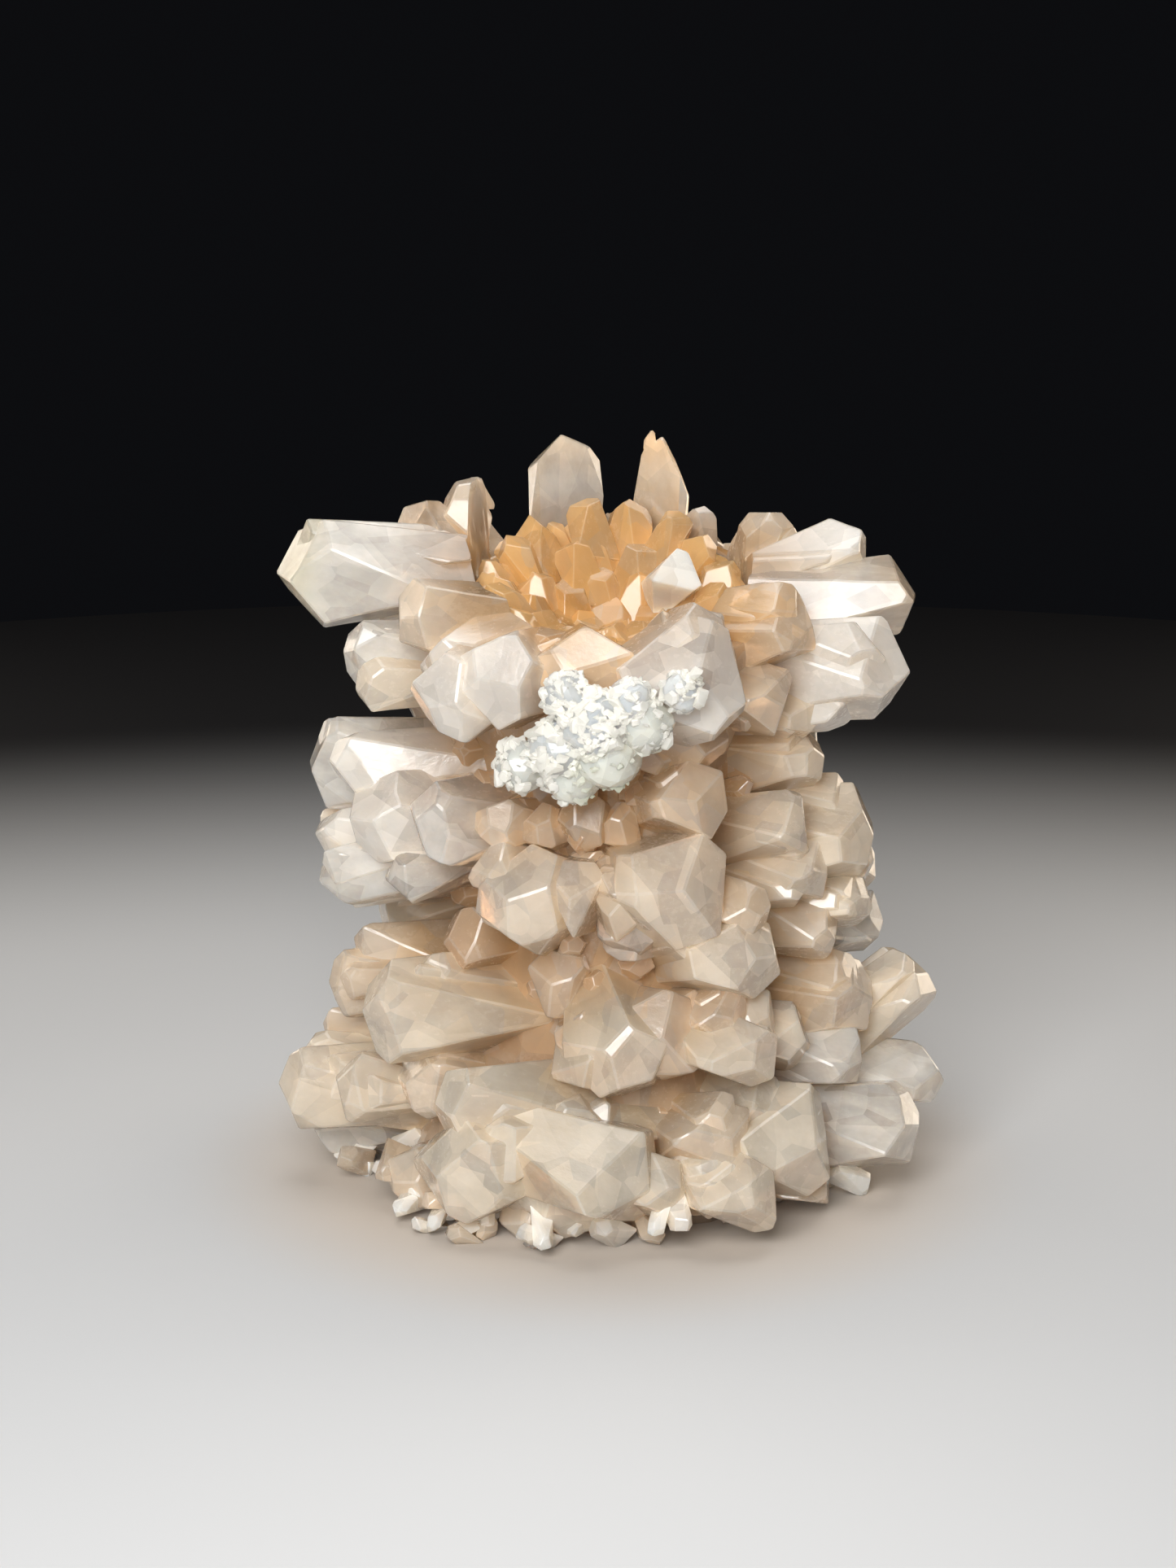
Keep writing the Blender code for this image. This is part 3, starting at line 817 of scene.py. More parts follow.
CROWN = (
    Crystal(-91, 46, 86, 2, 32, 12, 12.5, -6, 50, spread=7, tone=Tone.CLEAR, end=Tone.CITRINE),
    Crystal(-105, 30, 94, 42, 24, 9.5, 8, 10, 50, tone=Tone.CLEAR, end=Tone.HONEY),
    Crystal(-111, 23, 98, 52, 26, 10, 8, 25, 55, tone=Tone.PEACH),
    Crystal(-163, 21.5, 103, 78, 34, 11, 9, 15, 46, tone=Tone.CLEAR, end=Tone.PEACH),
    Crystal(158, 22, 103, 80, 34, 8.5, 8, 0, 32, tone=Tone.PEACH, end=Tone.HONEY),
    Crystal(141, 22.5, 93, 66, 24, 6.5, 6, 20, 50, tone=Tone.CLEAR),
    Crystal(102, 38, 89.5, 14, 26, 9, 7, 0, 56, spread=5, tone=Tone.SNOW),
    Crystal(94, 43.5, 83, 6, 30, 12.5, 10, -10, 60, spread=5, tone=Tone.CLEAR, end=Tone.PEACH),
    Crystal(79, 42.5, 74, 0, 32, 14, 12.5, 8, 46, spread=4, tone=Tone.SNOW),
    Crystal(71, 31, 67.5, -14, 22, 10, 8, 0, 60, tone=Tone.PINK),
    Crystal(64, 31, 82, 16, 24, 11, 10, 12, tone=Tone.HONEY),
    Crystal(22, 32, 78, 18, 30, 17, 15, 5, 64, tone=Tone.SNOW),
    Crystal(26, 29, 68, -52, 18, 7.5, 6, 0, 40, tone=Tone.CLEAR),
    Crystal(29, 26, 65.5, -14, 18, 13, 8, 10, tone=Tone.TAN),
    Crystal(53, 30, 71, -8, 22, 11, 8, -12, tone=Tone.PEACH),
    Crystal(-63, 31.5, 82.5, 8, 24, 10, 10, 20, 66, tone=Tone.PEACH),
    Crystal(-79, 37, 76.5, 5, 24, 9, 9, 0, 60, tone=Tone.CLEAR),
    Crystal(-73, 36, 72, -5, 22, 8, 6, 10, 60, tone=Tone.PINK),
    Crystal(-44, 34, 72.5, -12, 26, 13, 12, 5, 60, tone=Tone.PEACH, end=Tone.SNOW),
    Crystal(-30, 32.5, 77, 10, 24, 13, 10, -8, 66, tone=Tone.PEACH, end=Tone.SNOW),
    Crystal(-9, 28.5, 78, 10, 22, 17, 8, 0, 68, tone=Tone.HONEY),
)

UPPER_LEFT = (
    Crystal(-94, 42.5, 59, 5, 28, 12, 13, 0, 62, tone=Tone.CLEAR),
    Crystal(-77, 39.5, 61, 2, 24, 8.5, 8, 8, 60, tone=Tone.SNOW),
    Crystal(-69, 38, 55, 6, 24, 12, 12, -5, 55, tone=Tone.SNOW),
    Crystal(-52, 33, 55, 5, 22, 12, 11, 12, tone=Tone.CLEAR),
    Crystal(-84, 41.5, 49.5, -3, 24, 8, 7, 0, 52, tone=Tone.SNOW),
    Crystal(-78, 41.5, 44.5, -3, 28, 9, 8, 6, 58, tone=Tone.CLEAR),
    Crystal(-62, 34, 46, -10, 20, 8, 6, 0, tone=Tone.CLEAR),
)

UPPER_FRONT = (
    Crystal(-35, 28, 56, 12, 16, 7, 7, 0, 66, tone=Tone.TAN),
    Crystal(-23, 25, 55.5, 15, 14, 6, 6, 20, 66, tone=Tone.TAN),
    Crystal(-9, 23.5, 56.5, 12, 14, 7.5, 7, 0, 68, tone=Tone.TAN),
    Crystal(5, 23, 55.5, 12, 14, 6, 6, 10, 68, tone=Tone.TAN),
    Crystal(-25, 31, 47, 14, 24, 14, 13, 10, 62, tone=Tone.PINK),
    Crystal(-10, 28.5, 48, 16, 22, 11, 7, 90, 62, tone=Tone.PINK),
    Crystal(5, 28.5, 47, 12, 22, 12, 8, 85, 60, tone=Tone.PINK),
    Crystal(19, 32, 49, 14, 26, 15, 14, -10, 60, tone=Tone.PINK),
    Crystal(30, 29, 45.5, 4, 18, 6, 6, 0, 60, tone=Tone.TAN),
    Crystal(10, 26.5, 39, -30, 16, 11, 6, 0, 55, tone=Tone.CLEAR),
    Crystal(26, 28.5, 60, 12, 20, 12, 8, 6, 66, tone=Tone.TAN),
    Crystal(13, 21, 61, 20, 12, 6, 6, 0, 66, tone=Tone.AMBER),
)

UPPER_RIGHT = (
    Crystal(75, 31.5, 62, 10, 24, 10, 9, 0, 62, tone=Tone.PINK),
    Crystal(58, 32, 54, 10, 22, 9.5, 9, 10, 66, tone=Tone.PINK),
    Crystal(78, 38.5, 51, 6, 30, 13, 13, 0, 64, tone=Tone.PINK),
    Crystal(88, 38, 45, -2, 22, 8, 8, 12, 60, tone=Tone.PINK),
    Crystal(64, 34, 47, 0, 20, 9, 8, 0, 66, tone=Tone.PINK),
    Crystal(78, 38.5, 40.5, -5, 22, 9, 8, -8, 60, tone=Tone.PINK),
    Crystal(94, 40.5, 35, 0, 24, 8.5, 8, 0, 56, tone=Tone.CLEAR),
    Crystal(38, 33, 44, -4, 18, 8, 6, 5, 60, tone=Tone.TAN),
    Crystal(36, 33.5, 38.5, 6, 24, 14, 11, 0, 64, tone=Tone.PINK),
    Crystal(68, 34.5, 37.5, -5, 20, 8, 8, 0, 60, tone=Tone.TAN),
)

LOWER_LEFT = (
    Crystal(-85, 36.5, 33.5, 5, 22, 8, 5.5, 0, 64, tone=Tone.TAN),
    Crystal(-84, 40, 28, 0, 26, 9, 9, 8, 60, tone=Tone.TAN),
    Crystal(-62, 38.5, 28.5, 2, 32, 14, 12, 6, 62, -14, tone=Tone.PINK),
    Crystal(-56, 32, 33, 14, 20, 8, 8, -10, 58, tone=Tone.PINK),
    Crystal(-90, 41, 20.5, 0, 22, 6.5, 5, 0, 58, tone=Tone.TAN),
    Crystal(-53, 27, 39, 12, 16, 9, 8, 0, 64, tone=Tone.AMBER),
)

LOWER_FRONT = (
    Crystal(-17, 25, 34.5, 12, 16, 9, 8, 90, 62, tone=Tone.TAN),
    Crystal(14, 30.5, 28, 10, 20, 13, 12, 0, 64, tone=Tone.TAN),
    Crystal(3, 32, 22, -28, 20, 15, 10, 0, 48, tone=Tone.PINK),
    Crystal(-6, 28, 27, 8, 16, 8, 9, 10, 60, tone=Tone.TAN),
    Crystal(33, 32, 30, 10, 18, 8.5, 7, 0, 60, tone=Tone.TAN),
    Crystal(44, 32, 28.5, 8, 18, 8, 8, 15, 60, tone=Tone.PINK),
    Crystal(33, 36.5, 24.5, -6, 22, 13, 7, 0, 62, tone=Tone.PINK),
    Crystal(55, 34, 24, 2, 20, 9, 9, 5, 60, tone=Tone.PINK),
)

LOWER_RIGHT = (
    Crystal(74, 39, 28, 8, 24, 11, 10, 0, 58, tone=Tone.TAN),
    Crystal(86, 46, 29.5, 38, 28, 11, 9.5, 0, 62, tone=Tone.PINK),
    Crystal(67, 39, 20, 0, 22, 9, 8, 10, 64, tone=Tone.CLEAR),
    Crystal(83, 49, 13.5, -4, 30, 10, 8.5, 0, 50, tone=Tone.CLEAR),
)

FOOT = (
    Crystal(-80, 47.5, 14.5, 6, 30, 13, 12, 0, 60, tone=Tone.PINK),
    Crystal(-68, 41, 17, 14, 24, 11, 9, 10, 62, tone=Tone.PINK),
    Crystal(-84, 42.5, 5.5, -2, 22, 8, 5, 0, 55, tone=Tone.CLEAR),
    Crystal(-54, 34, 18.5, 12, 20, 9, 9, 0, 60, tone=Tone.PEACH),
    Crystal(-40, 37, 18.5, 8, 32, 14, 12, -5, 60, -32, tone=Tone.PINK),
    Crystal(-34, 41, 10.5, 2, 28, 17, 13, 5, 60, -14, tone=Tone.PINK),
    Crystal(-14, 34, 14, 14, 24, 14, 12, 0, 62, -10, tone=Tone.PINK),
    Crystal(8, 38, 9.5, -8, 28, 17, 12, 8, 56, 44, tone=Tone.PINK),
    Crystal(-12, 37, 6.5, -6, 24, 13, 9, 0, 64, tone=Tone.PINK),
    Crystal(26, 37, 15.5, 18, 24, 12, 9, 0, 58, tone=Tone.TAN),
    Crystal(44, 40.5, 13, 8, 28, 16, 14, 0, 64, tone=Tone.PINK),
    Crystal(69, 46.5, 10, 3, 30, 12, 12, 8, 66, tone=Tone.CLEAR),
    Crystal(27, 43, 7.5, 0, 26, 12, 9, 0, 60, tone=Tone.PINK),
    Crystal(52, 39, 4, -4, 20, 10, 6, 0, 60, tone=Tone.TAN),
    Crystal(-52, 38, 5, 0, 22, 11, 8, 0, 62, tone=Tone.TAN),
)

BACK_RINGS = (
    Ring(90, 27, 60, 5, 10, 22),
    Ring(86, 34, 40, 6, 12, 28),
    Ring(76, 38, 12, 6, 13, 28),
    Ring(66, 33, -6, 6, 11, 22),
    Ring(56, 36, 8, 6, 12.5, 26),
    Ring(45, 39, 2, 7, 12, 28),
    Ring(34, 36, -4, 6, 12, 24),
    Ring(23, 39, 8, 7, 12, 26),
    Ring(10, 42, 2, 8, 13, 26),
)


@dataclass(frozen=True)
class Lump:
    """One round lump under the white patch, and how thickly sugar grows on it."""

    bearing: float
    reach: float
    height: float
    radius: float
    sugar: float = 1.0

    def centre(self, sunk: float) -> Vector:
        """Give the lump's centre, sunk into the stone by a share of its radius."""
        return place(self.bearing, self.reach - self.radius * sunk, self.height)


@dataclass
class Cluster:
    """The column and every crystal that grows out of it, up to the crown."""

    cutter: Cutter = field(default_factory=Cutter)
    column_top: float = 83.5
    column_radius: float = 20.0
    crown_radius: float = 23.5
    foot_radius: float = 30.0
    foot_height: float = 14.0
    column_sides: int = 12
    rim_tilt: float = 0.27
    sunk: float = 4.0
    hollow_floor: float = 75.5
    hollow_radius: float = 19.5
    hollow_centre: tuple[float, float] = (0.5, 1.0)
    hollow_sides: int = 12
    clear_height: float = 115.0
    crust_gap: float = 0.3
    back_bearings: tuple[float, float] = (98.0, 264.0)
    companion_share: float = 0.62
    companion_slip: float = 0.34
    companion_width: float = 12.5
    terrace_count: int = 2
    terrace_width: float = 8.0
    crumb_count: int = 20
    grit_count: int = 120
    crumb_radius: float = 4.2
    amber_count: int = 260
    lump_sunk: float = 0.55
    white_lumps: tuple[Lump, ...] = (
        Lump(-10, 32, 75, 3.4),
        Lump(5, 33, 74.5, 3.2),
        Lump(17, 34, 76, 2.6),
        Lump(-3, 33, 71.5, 4.6),
        Lump(9, 33, 71.5, 3.6, 0.5),
        Lump(-12, 31.5, 68, 4.2),
        Lump(0, 31.5, 67, 4.6, 0.12),
        Lump(-23, 30.5, 65, 3.6, 0.6),
        Lump(-10, 30, 64, 4.0, 0.3),
    )

    def hollow(self, name: str, inset: float = 0.0) -> bpy.types.Object:
        """Make the crown's hollow as a solid, drawn in by an inset."""
        rings = (
            (self.hollow_radius * 0.18 - inset, self.hollow_floor + inset, 0.0),
            (self.hollow_radius * 0.62 - inset, self.hollow_floor + 3.2 + inset, self.rim_tilt * 0.6),
            (self.hollow_radius - inset, self.column_top - 1.2 + inset * 0.5, self.rim_tilt),
            (self.hollow_radius * 1.12 - inset, self.clear_height, 0.0),
        )
        return turned_object(name, rings, self.hollow_sides, self.hollow_centre)

    def column(self) -> bpy.types.Object:
        """Make the bare column, whose top slopes down towards the front."""
        rings = (
            (self.foot_radius, -self.sunk, 0.0),
            (self.foot_radius, self.foot_height * 0.5, 0.0),
            (self.column_radius + 4.0, self.foot_height * 1.5, 0.0),
            (self.column_radius, self.column_top * 0.45, 0.0),
            (self.column_radius, self.column_top * 0.75, 0.0),
            (self.crown_radius, self.column_top - 7.0, self.rim_tilt),
            (self.crown_radius, self.column_top, self.rim_tilt),
        )
        return turned_object("calcite_cluster", rings, self.column_sides, jitter=1.5)

    def companion(self, crystal: Crystal, rng: random.Random) -> Crystal:
        """Give a smaller crystal grown side by side with another, almost parallel to it."""
        share = self.companion_share * rng.uniform(0.85, 1.2)
        slip = crystal.width * self.companion_slip * rng.choice((-1.0, 1.0))
        return replace(
            crystal,
            bearing=crystal.bearing + math.degrees(slip / crystal.reach),
            reach=crystal.reach - rng.uniform(1.5, 4.0),
            height=crystal.height + crystal.thickness * rng.uniform(-0.35, 0.35),
            rise=crystal.rise + rng.uniform(-7.0, 7.0),
            length=crystal.length * 0.8,
            width=crystal.width * share,
            thickness=crystal.thickness * share,
            roll=crystal.roll + rng.uniform(-12.0, 12.0),
        )

    def terraces(self, crystal: Crystal, rng: random.Random) -> list[Crystal]:
        """List the steps that grow on a crystal's flanks, parallel to it and a little shorter.

        Args:
            crystal: The crystal that they grow on.
            rng: The source of their small irregularities.

        Returns:
            The steps.
        """
        found = []
        for _ in range(self.terrace_count):
            turn = rng.uniform(0.0, 2.0 * math.pi)
            aside = crystal.width * 0.30 * math.cos(turn)
            lift = crystal.thickness * 0.30 * math.sin(turn)
            found.append(replace(
                crystal,
                bearing=crystal.bearing + math.degrees(aside / crystal.reach),
                reach=crystal.reach - crystal.width * rng.uniform(0.10, 0.55),
                height=crystal.height + lift,
                rise=crystal.rise + rng.uniform(-5.0, 5.0),
                length=crystal.length * 0.7,
                width=crystal.width * rng.uniform(0.45, 0.75),
                thickness=crystal.thickness * rng.uniform(0.45, 0.75),
                roll=crystal.roll + rng.uniform(-8.0, 8.0),
                blunt=crystal.blunt + rng.uniform(-8.0, 4.0),
                swing=crystal.swing + rng.uniform(-5.0, 5.0),
            ))
        return found

    def back_crystals(self) -> list[Crystal]:
        """List the crystals of the side that faces away, ring by ring."""
        rng = random.Random("back")
        tones = random.Random("back_tones")
        start, stop = self.back_bearings
        found = []
        for ring in BACK_RINGS:
            step = (stop - start) / ring.count
            for number in range(ring.count):
                found.append(Crystal(
                    bearing=start + step * (number + 0.5) + rng.uniform(-5.0, 5.0),
                    reach=ring.reach + rng.uniform(-3.5, 3.5),
                    height=ring.height + rng.uniform(-2.5, 2.5),
                    rise=ring.rise + rng.uniform(-10.0, 10.0),
                    length=ring.length,
                    width=ring.width * rng.uniform(0.8, 1.3),
                    thickness=ring.width * rng.uniform(0.65, 1.0),
                    roll=rng.uniform(-30.0, 30.0),
                    blunt=rng.uniform(52.0, 66.0),
                    tone=tones.choice((Tone.PINK, Tone.PINK, Tone.CLEAR, Tone.PEACH, Tone.TAN)),
                ))
        return found

    def crumbs(self) -> list[Crystal]:
        """List the small crystals that crumble round the foot's edge."""
        rng = random.Random("crumbs")
        return [
            Crystal(
                bearing=360.0 / self.crumb_count * (number + rng.uniform(-0.3, 0.3)),
                reach=self.foot_radius + rng.uniform(1.0, 4.5),
                height=rng.uniform(1.5, 5.5),
                rise=rng.uniform(-18.0, 25.0),
                length=self.crumb_radius * 3.0,
                width=self.crumb_radius * rng.uniform(1.3, 2.0),
                thickness=self.crumb_radius * rng.uniform(1.1, 1.6),
                roll=rng.uniform(0.0, 60.0),
                blunt=rng.uniform(45.0, 62.0),
                tone=Tone.TAN,
            )
            for number in range(self.crumb_count)
        ]

    def amber(self) -> list[Crystal]:
        """List the small amber crystals that coat the column between the tiers."""
        rng = random.Random("amber")
        found = []
        for _ in range(self.amber_count):
            height = rng.uniform(3.0, 80.0)
            radius = self.column_radius + max(0.0, 21.0 - height) * 0.45
            found.append(Crystal(
                bearing=rng.uniform(-180.0, 180.0),
                reach=radius + rng.uniform(1.5, 4.0),
                height=height,
                rise=rng.uniform(-30.0, 40.0),
                length=8.0,
                width=rng.uniform(2.6, 5.0),
                thickness=rng.uniform(2.4, 4.4),
                roll=rng.uniform(0.0, 60.0),
                blunt=rng.uniform(42.0, 62.0),
                tone=Tone.AMBER,
            ))
        return found

    def grit(self) -> list[Crystal]:
        """List the small broken crystals that crumble round the foot."""
        rng = random.Random("grit")
        return [
            Crystal(
                bearing=rng.uniform(-180.0, 180.0),
                reach=rng.uniform(31.0, 40.0),
                height=rng.uniform(0.2, 5.0),
                rise=rng.uniform(-40.0, 45.0),
                length=7.0,
                width=rng.uniform(1.8, 4.2),
                thickness=rng.uniform(1.2, 3.2),
                roll=rng.uniform(0.0, 60.0),
                blunt=rng.uniform(38.0, 60.0),
                swing=rng.uniform(-40.0, 40.0),
                tone=rng.choice((Tone.SNOW, Tone.SNOW, Tone.TAN, Tone.MILK)),
            )
            for _ in range(self.grit_count)
        ]

    def lump(self, lump: Lump) -> Skin:
        """Make one round lump under the white patch."""
        shape = bmesh.new()
        bmesh.ops.create_icosphere(shape, subdivisions=3, radius=lump.radius)
        bmesh.ops.translate(shape, vec=lump.centre(self.lump_sunk), verts=shape.verts)
        skin = Skin.of(shape)
        skin.ripple(0.5, 2.5)
        return skin

    def named(self) -> dict[str, Crystal]:
        """Name every crystal of the cluster.

        Returns:
            The crystals by name, which also seeds how each is cut.
        """
        tiers = {
            "crown": CROWN,
            "upper_left": UPPER_LEFT,
            "upper_front": UPPER_FRONT,
            "upper_right": UPPER_RIGHT,
            "lower_left": LOWER_LEFT,
            "lower_front": LOWER_FRONT,
            "lower_right": LOWER_RIGHT,
            "foot": FOOT,
            "back": self.back_crystals(),
            "crumb": self.crumbs(),
            "grit": self.grit(),
            "amber": self.amber(),
        }
        found = {}
        for tier, crystals in tiers.items():
            for number, crystal in enumerate(crystals):
                name = f"{tier}_{number}"
                found[name] = crystal
                if tier != "back" and crystal.width > self.companion_width:
                    found[f"{name}_side"] = self.companion(crystal, random.Random(name))
                if crystal.width > self.terrace_width:
                    steps = self.terraces(crystal, random.Random(f"{name}_terraces"))
                    found.update({f"{name}_step_{count}": step for count, step in enumerate(steps)})
        return found

    def build(self, finish: bpy.types.Material) -> bpy.types.Object:
        """Build the cluster as one body and dress it.

        Args:
            finish: The calcite material.

        Returns:
            The cluster.
        """
        body = self.column()
        growth = Growth()
        for name, crystal in self.named().items():
            growth.add(name, self.cutter.make(name, crystal), crystal)
        for number, lump in enumerate(self.white_lumps):
            tone = Tone.MILK if lump.sugar == 1.0 else Tone.PALE_GREEN
            stone = Crystal(lump.bearing, lump.reach, lump.height, 0.0, lump.radius, 1.0, 1.0, tone=tone)
            growth.add(f"lump_{number}", self.lump(lump), stone)
        growth.join(body, Crystal(0, 0, 0, 0, 0, 0, 0, tone=Tone.AMBER))
        ground = turned_object("ground", ((90.0, -60.0, 0.0), (90.0, 0.0, 0.0)), 4)
        combine(body, [self.hollow("hollow"), ground], "DIFFERENCE")
        keep_largest(body)
        growth.tint(body)
        smooth(body, finish)
        body.name = "calcite_body"
        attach(body, "root")
        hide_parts("calcite_cluster")
        LOG.info("%s: %d faces", body.name, len(body.data.polygons))
        return body


@dataclass
class Crust:
    """The honey crust of small crystals that lines the crown's hollow."""

    cluster: Cluster
    cutter: Cutter = field(default_factory=lambda: Cutter(edge=0.14, weld=0.25, facet=2.2, wave=0.05, wave_length=3.0))
    rings: tuple[tuple[float, float, float, int], ...] = (
        (80.0, 3.5, 84, 4),
        (82.5, 8.0, 72, 8),
        (85.0, 12.5, 62, 12),
        (87.0, 17.0, 56, 15),
    )
    slope: float = 7.5
    width: float = 5.8
    length: float = 11.0
    thickness: float = 2.2
    seedling_count: int = 110
    chip: Crystal = Crystal(60, 11, 87.5, 30, 14, 6.6, 6.2, 10, 84, -52, tone=Tone.MILK)

    def crystals(self) -> list[Crystal]:
        """List the crust's main crystals, ring by ring, taller towards the back."""
        rng = random.Random("crust")
        found = []
        for height, radius, rise, count in self.rings:
            for number in range(count):
                bearing = 360.0 / count * (number + rng.uniform(-0.25, 0.25))
                behind = -math.cos(math.radians(bearing)) * radius / self.cluster.hollow_radius
                found.append(Crystal(
                    bearing=bearing,
                    reach=radius + rng.uniform(-0.8, 0.8),
                    height=height + self.slope * behind + rng.uniform(-1.5, 1.5),
                    rise=rise + rng.uniform(-8.0, 8.0),
                    length=self.length,
                    width=self.width * rng.uniform(0.85, 1.25),
                    thickness=self.width * rng.uniform(0.75, 1.0),
                    roll=rng.uniform(0.0, 60.0),
                    blunt=rng.uniform(38.0, 58.0),
                    tone=Tone.HONEY,
                ))
        return found

    def seedlings(self) -> list[Crystal]:
        """List the smaller crystals that fill the gaps between the main ones."""
        rng = random.Random("seedlings")
        found = []
        for _ in range(self.seedling_count):
            bearing = rng.uniform(-180.0, 180.0)
            radius = self.cluster.hollow_radius * math.sqrt(rng.uniform(0.0, 0.95))
            share = radius / self.cluster.hollow_radius
            behind = -math.cos(math.radians(bearing)) * share
            found.append(Crystal(
                bearing=bearing,
                reach=radius,
                height=77.5 + 8.0 * share ** 1.5 + (self.slope - 1.0) * behind + rng.uniform(-1.0, 1.5),
                rise=84.0 - 34.0 * share + rng.uniform(-12.0, 12.0),
                length=6.5,
                width=rng.uniform(2.2, 4.0),
                thickness=rng.uniform(2.0, 3.4),
                roll=rng.uniform(0.0, 60.0),
                blunt=rng.uniform(36.0, 56.0),
                tone=Tone.HONEY,
            ))
        return found

    def build(self, finish: bpy.types.Material) -> bpy.types.Object:
        """Build the crust as one body and dress it.

        Args:
            finish: The calcite material.

        Returns:
            The crust.
        """
        gap = self.cluster.crust_gap
        top = self.cluster.column_top
        tilt = self.cluster.rim_tilt
        body = self.cluster.hollow("crown_crust", 1.5 * gap)
        inside = self.cluster.hollow("inside", self.thickness)
        above = turned_object("above", ((60.0, top, tilt), (60.0, 155.0, 0.0)), 4)
        combine(body, [inside, above], "DIFFERENCE")
        growth = Growth()
        for number, crystal in enumerate(self.crystals() + [self.chip] + self.seedlings()):
            name = f"honey_{number}"
            growth.add(name, self.cutter.make(name, crystal), crystal)
        growth.join(body, Crystal(0, 0, 0, 0, 0, 0, 0, tone=Tone.HONEY))
        combine(body, [self.cluster.hollow("bounds", gap)], "INTERSECT")
        keep_largest(body)
        growth.tint(body)
        smooth(body, finish)
        body.name = "honey_crust"
        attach(body, "root")
        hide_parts("crown_crust")
        LOG.info("%s: %d faces", body.name, len(body.data.polygons))
        return body


@dataclass
class WhiteDruse:
    """The sugary white patch under the crown's front lip."""

    cluster: Cluster
    cutter: Cutter = field(default_factory=lambda: Cutter(shoulders=0))
    per_area: float = 1.1
    smallest: float = 0.7
    largest: float = 2.0

    def build(self, finish: bpy.types.Material) -> bpy.types.Object:
        """Build the patch's fine crystals as one mesh and dress it.

        Args:
            finish: The white material.

        Returns:
            The patch.
        """
        rng = random.Random("sugar")
        corners: list[Vector] = []
        faces: list[tuple[int, ...]] = []
        for lump in self.cluster.white_lumps:
            centre = lump.centre(self.cluster.lump_sunk)
            for _ in range(round(4.0 * math.pi * lump.radius ** 2 * self.per_area * lump.sugar)):
                out = compass(lump.bearing + rng.uniform(-95.0, 95.0), rng.uniform(-75.0, 80.0))
                size = self.smallest + (self.largest - self.smallest) * rng.random() ** 2.5
                flat = size * rng.uniform(0.35, 0.8)
                shape = self.cutter.facets(
                    Crystal(0, 0, 0, 0, size * 1.5, size, flat, blunt=rng.uniform(35.0, 60.0)), rng
                )
                lean = (out + Vector([rng.uniform(-0.7, 0.7) for _ in range(3)])).normalized()
                turn = lean.to_track_quat("Z", "Y").to_matrix().to_4x4()
                spot = centre + out * (lump.radius + size * rng.uniform(0.15, 0.5))
                bmesh.ops.transform(shape, matrix=Matrix.Translation(spot) @ turn, verts=shape.verts)
                grain = Skin.of(shape)
                start = len(corners)
                corners += grain.corners
                faces += [tuple(start + number for number in face) for face in grain.faces]
        body = Skin(corners, faces, []).thing("white_patch")
        body.data.materials.append(finish)
        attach(body, "root")
        LOG.info("%s: %d faces", body.name, len(body.data.polygons))
        return body


@dataclass(frozen=True)
class Softbox:
    """One soft studio light."""

    name: str
    place: tuple[float, float, float]
    size: float
    power: float
    tint: tuple[float, float, float] = (1.0, 1.0, 1.0)

    def build(self, target: Vector) -> None:
        """Hang the light so that it points at a target."""
        light = bpy.data.lights.new(self.name, "AREA")
        light.energy = self.power
        light.size = self.size
        light.color = self.tint
        lamp = bpy.data.objects.new(self.name, light)
        lamp.location = self.place
        lamp.rotation_euler = (target - Vector(self.place)).to_track_quat("-Z", "Y").to_euler()
        bpy.context.scene.collection.objects.link(lamp)


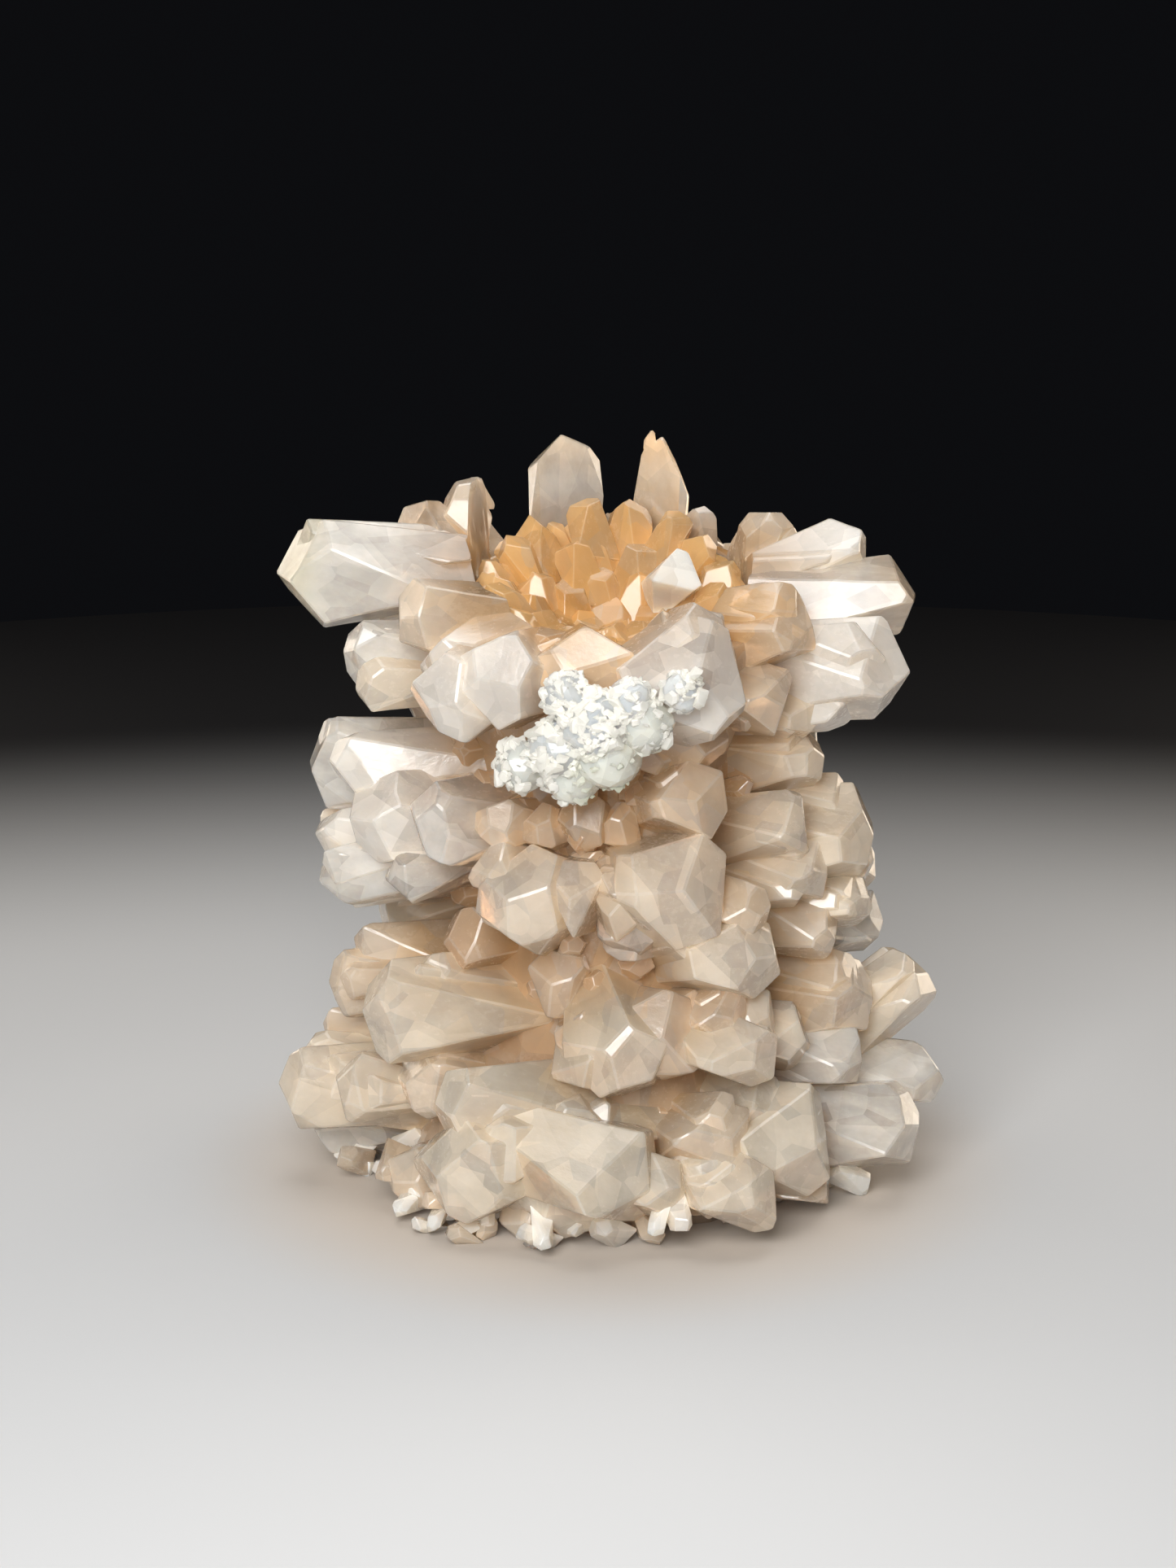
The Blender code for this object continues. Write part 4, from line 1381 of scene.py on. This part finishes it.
@dataclass
class Studio:
    """The table, the lights and the camera."""

    target: tuple[float, float, float] = (-2.6, 0.0, 55.9)
    distance: float = 406.0
    elevation: float = 14.0
    lens: float = 66.0
    film: float = 36.0
    table_radius: float = 450.0
    lights: tuple[Softbox, ...] = (
        Softbox("overhead", (0.0, 0.07, 0.42), 0.34, 0.9),
        Softbox("front", (-0.12, -0.50, 0.32), 0.34, 3.6),
        Softbox("behind_left", (-0.34, 0.26, 0.12), 0.26, 0.55, (1.0, 0.88, 0.74)),
        Softbox("behind_right", (0.34, 0.26, 0.12), 0.26, 0.75, (1.0, 0.86, 0.70)),
    )

    def build_table(self) -> None:
        """Build the table top."""
        shape = bmesh.new()
        bmesh.ops.create_circle(shape, cap_ends=True, segments=96, radius=self.table_radius)
        table = new_object("table", shape)
        table.data.materials.append(FloorFinish().build())

    def build_camera(self) -> None:
        """Set up the camera at the photograph's viewing angle."""
        data = bpy.data.cameras.new("camera")
        data.lens = self.lens
        data.sensor_fit = "VERTICAL"
        data.sensor_height = self.film
        data.clip_start = 0.01
        camera = bpy.data.objects.new("camera", data)
        tip = math.radians(self.elevation)
        camera.location = (Vector(self.target) + Vector((0, -math.cos(tip), math.sin(tip))) * self.distance) * MM
        camera.rotation_euler = (math.radians(90.0) - tip, 0.0, 0.0)
        bpy.context.scene.collection.objects.link(camera)
        bpy.context.scene.camera = camera

    def build(self) -> None:
        """Build the whole studio."""
        self.build_table()
        self.build_camera()
        for light in self.lights:
            light.build(Vector(self.target) * MM)
        world = bpy.data.worlds.new("dark_room")
        world.use_nodes = True
        world.node_tree.nodes["Background"].inputs["Color"].default_value = (0.004, 0.0042, 0.005, 1.0)
        bpy.context.scene.world = world
        bpy.context.scene.view_settings.view_transform = "Standard"
        cycles = bpy.context.scene.cycles
        cycles.max_bounces = 5
        cycles.diffuse_bounces = 2
        cycles.glossy_bounces = 1
        cycles.transmission_bounces = 4


def finishes() -> tuple[bpy.types.Material, bpy.types.Material, bpy.types.Material]:
    """Mix the three finishes: calcite, honey calcite and the white patch."""
    # The honey finish's deep colour is the crust's honey tone and also painted shade in the bottom of the crown's bowl.
    honey = CalciteFinish(
        name="honey_calcite", deep=(0.60, 0.29, 0.08), frosted=(0.95, 0.78, 0.55), heart=7.0, skin=24.0, stain=0.85,
        glow=0.15, coat=0.1, spike_low=120.0, spike_high=130.0,
    )
    return CalciteFinish().build(), honey.build(), DruseFinish().build()


def main() -> None:
    """Build the specimen and its studio, and note the sizes."""
    logging.basicConfig(level=logging.INFO, format="%(name)s: %(message)s")
    Studio().build()
    calcite, honey, druse = finishes()
    cluster = Cluster()
    cluster.build(calcite)
    Crust(cluster).build(honey)
    WhiteDruse(cluster).build(druse)


if __name__ == "__main__":
    main()
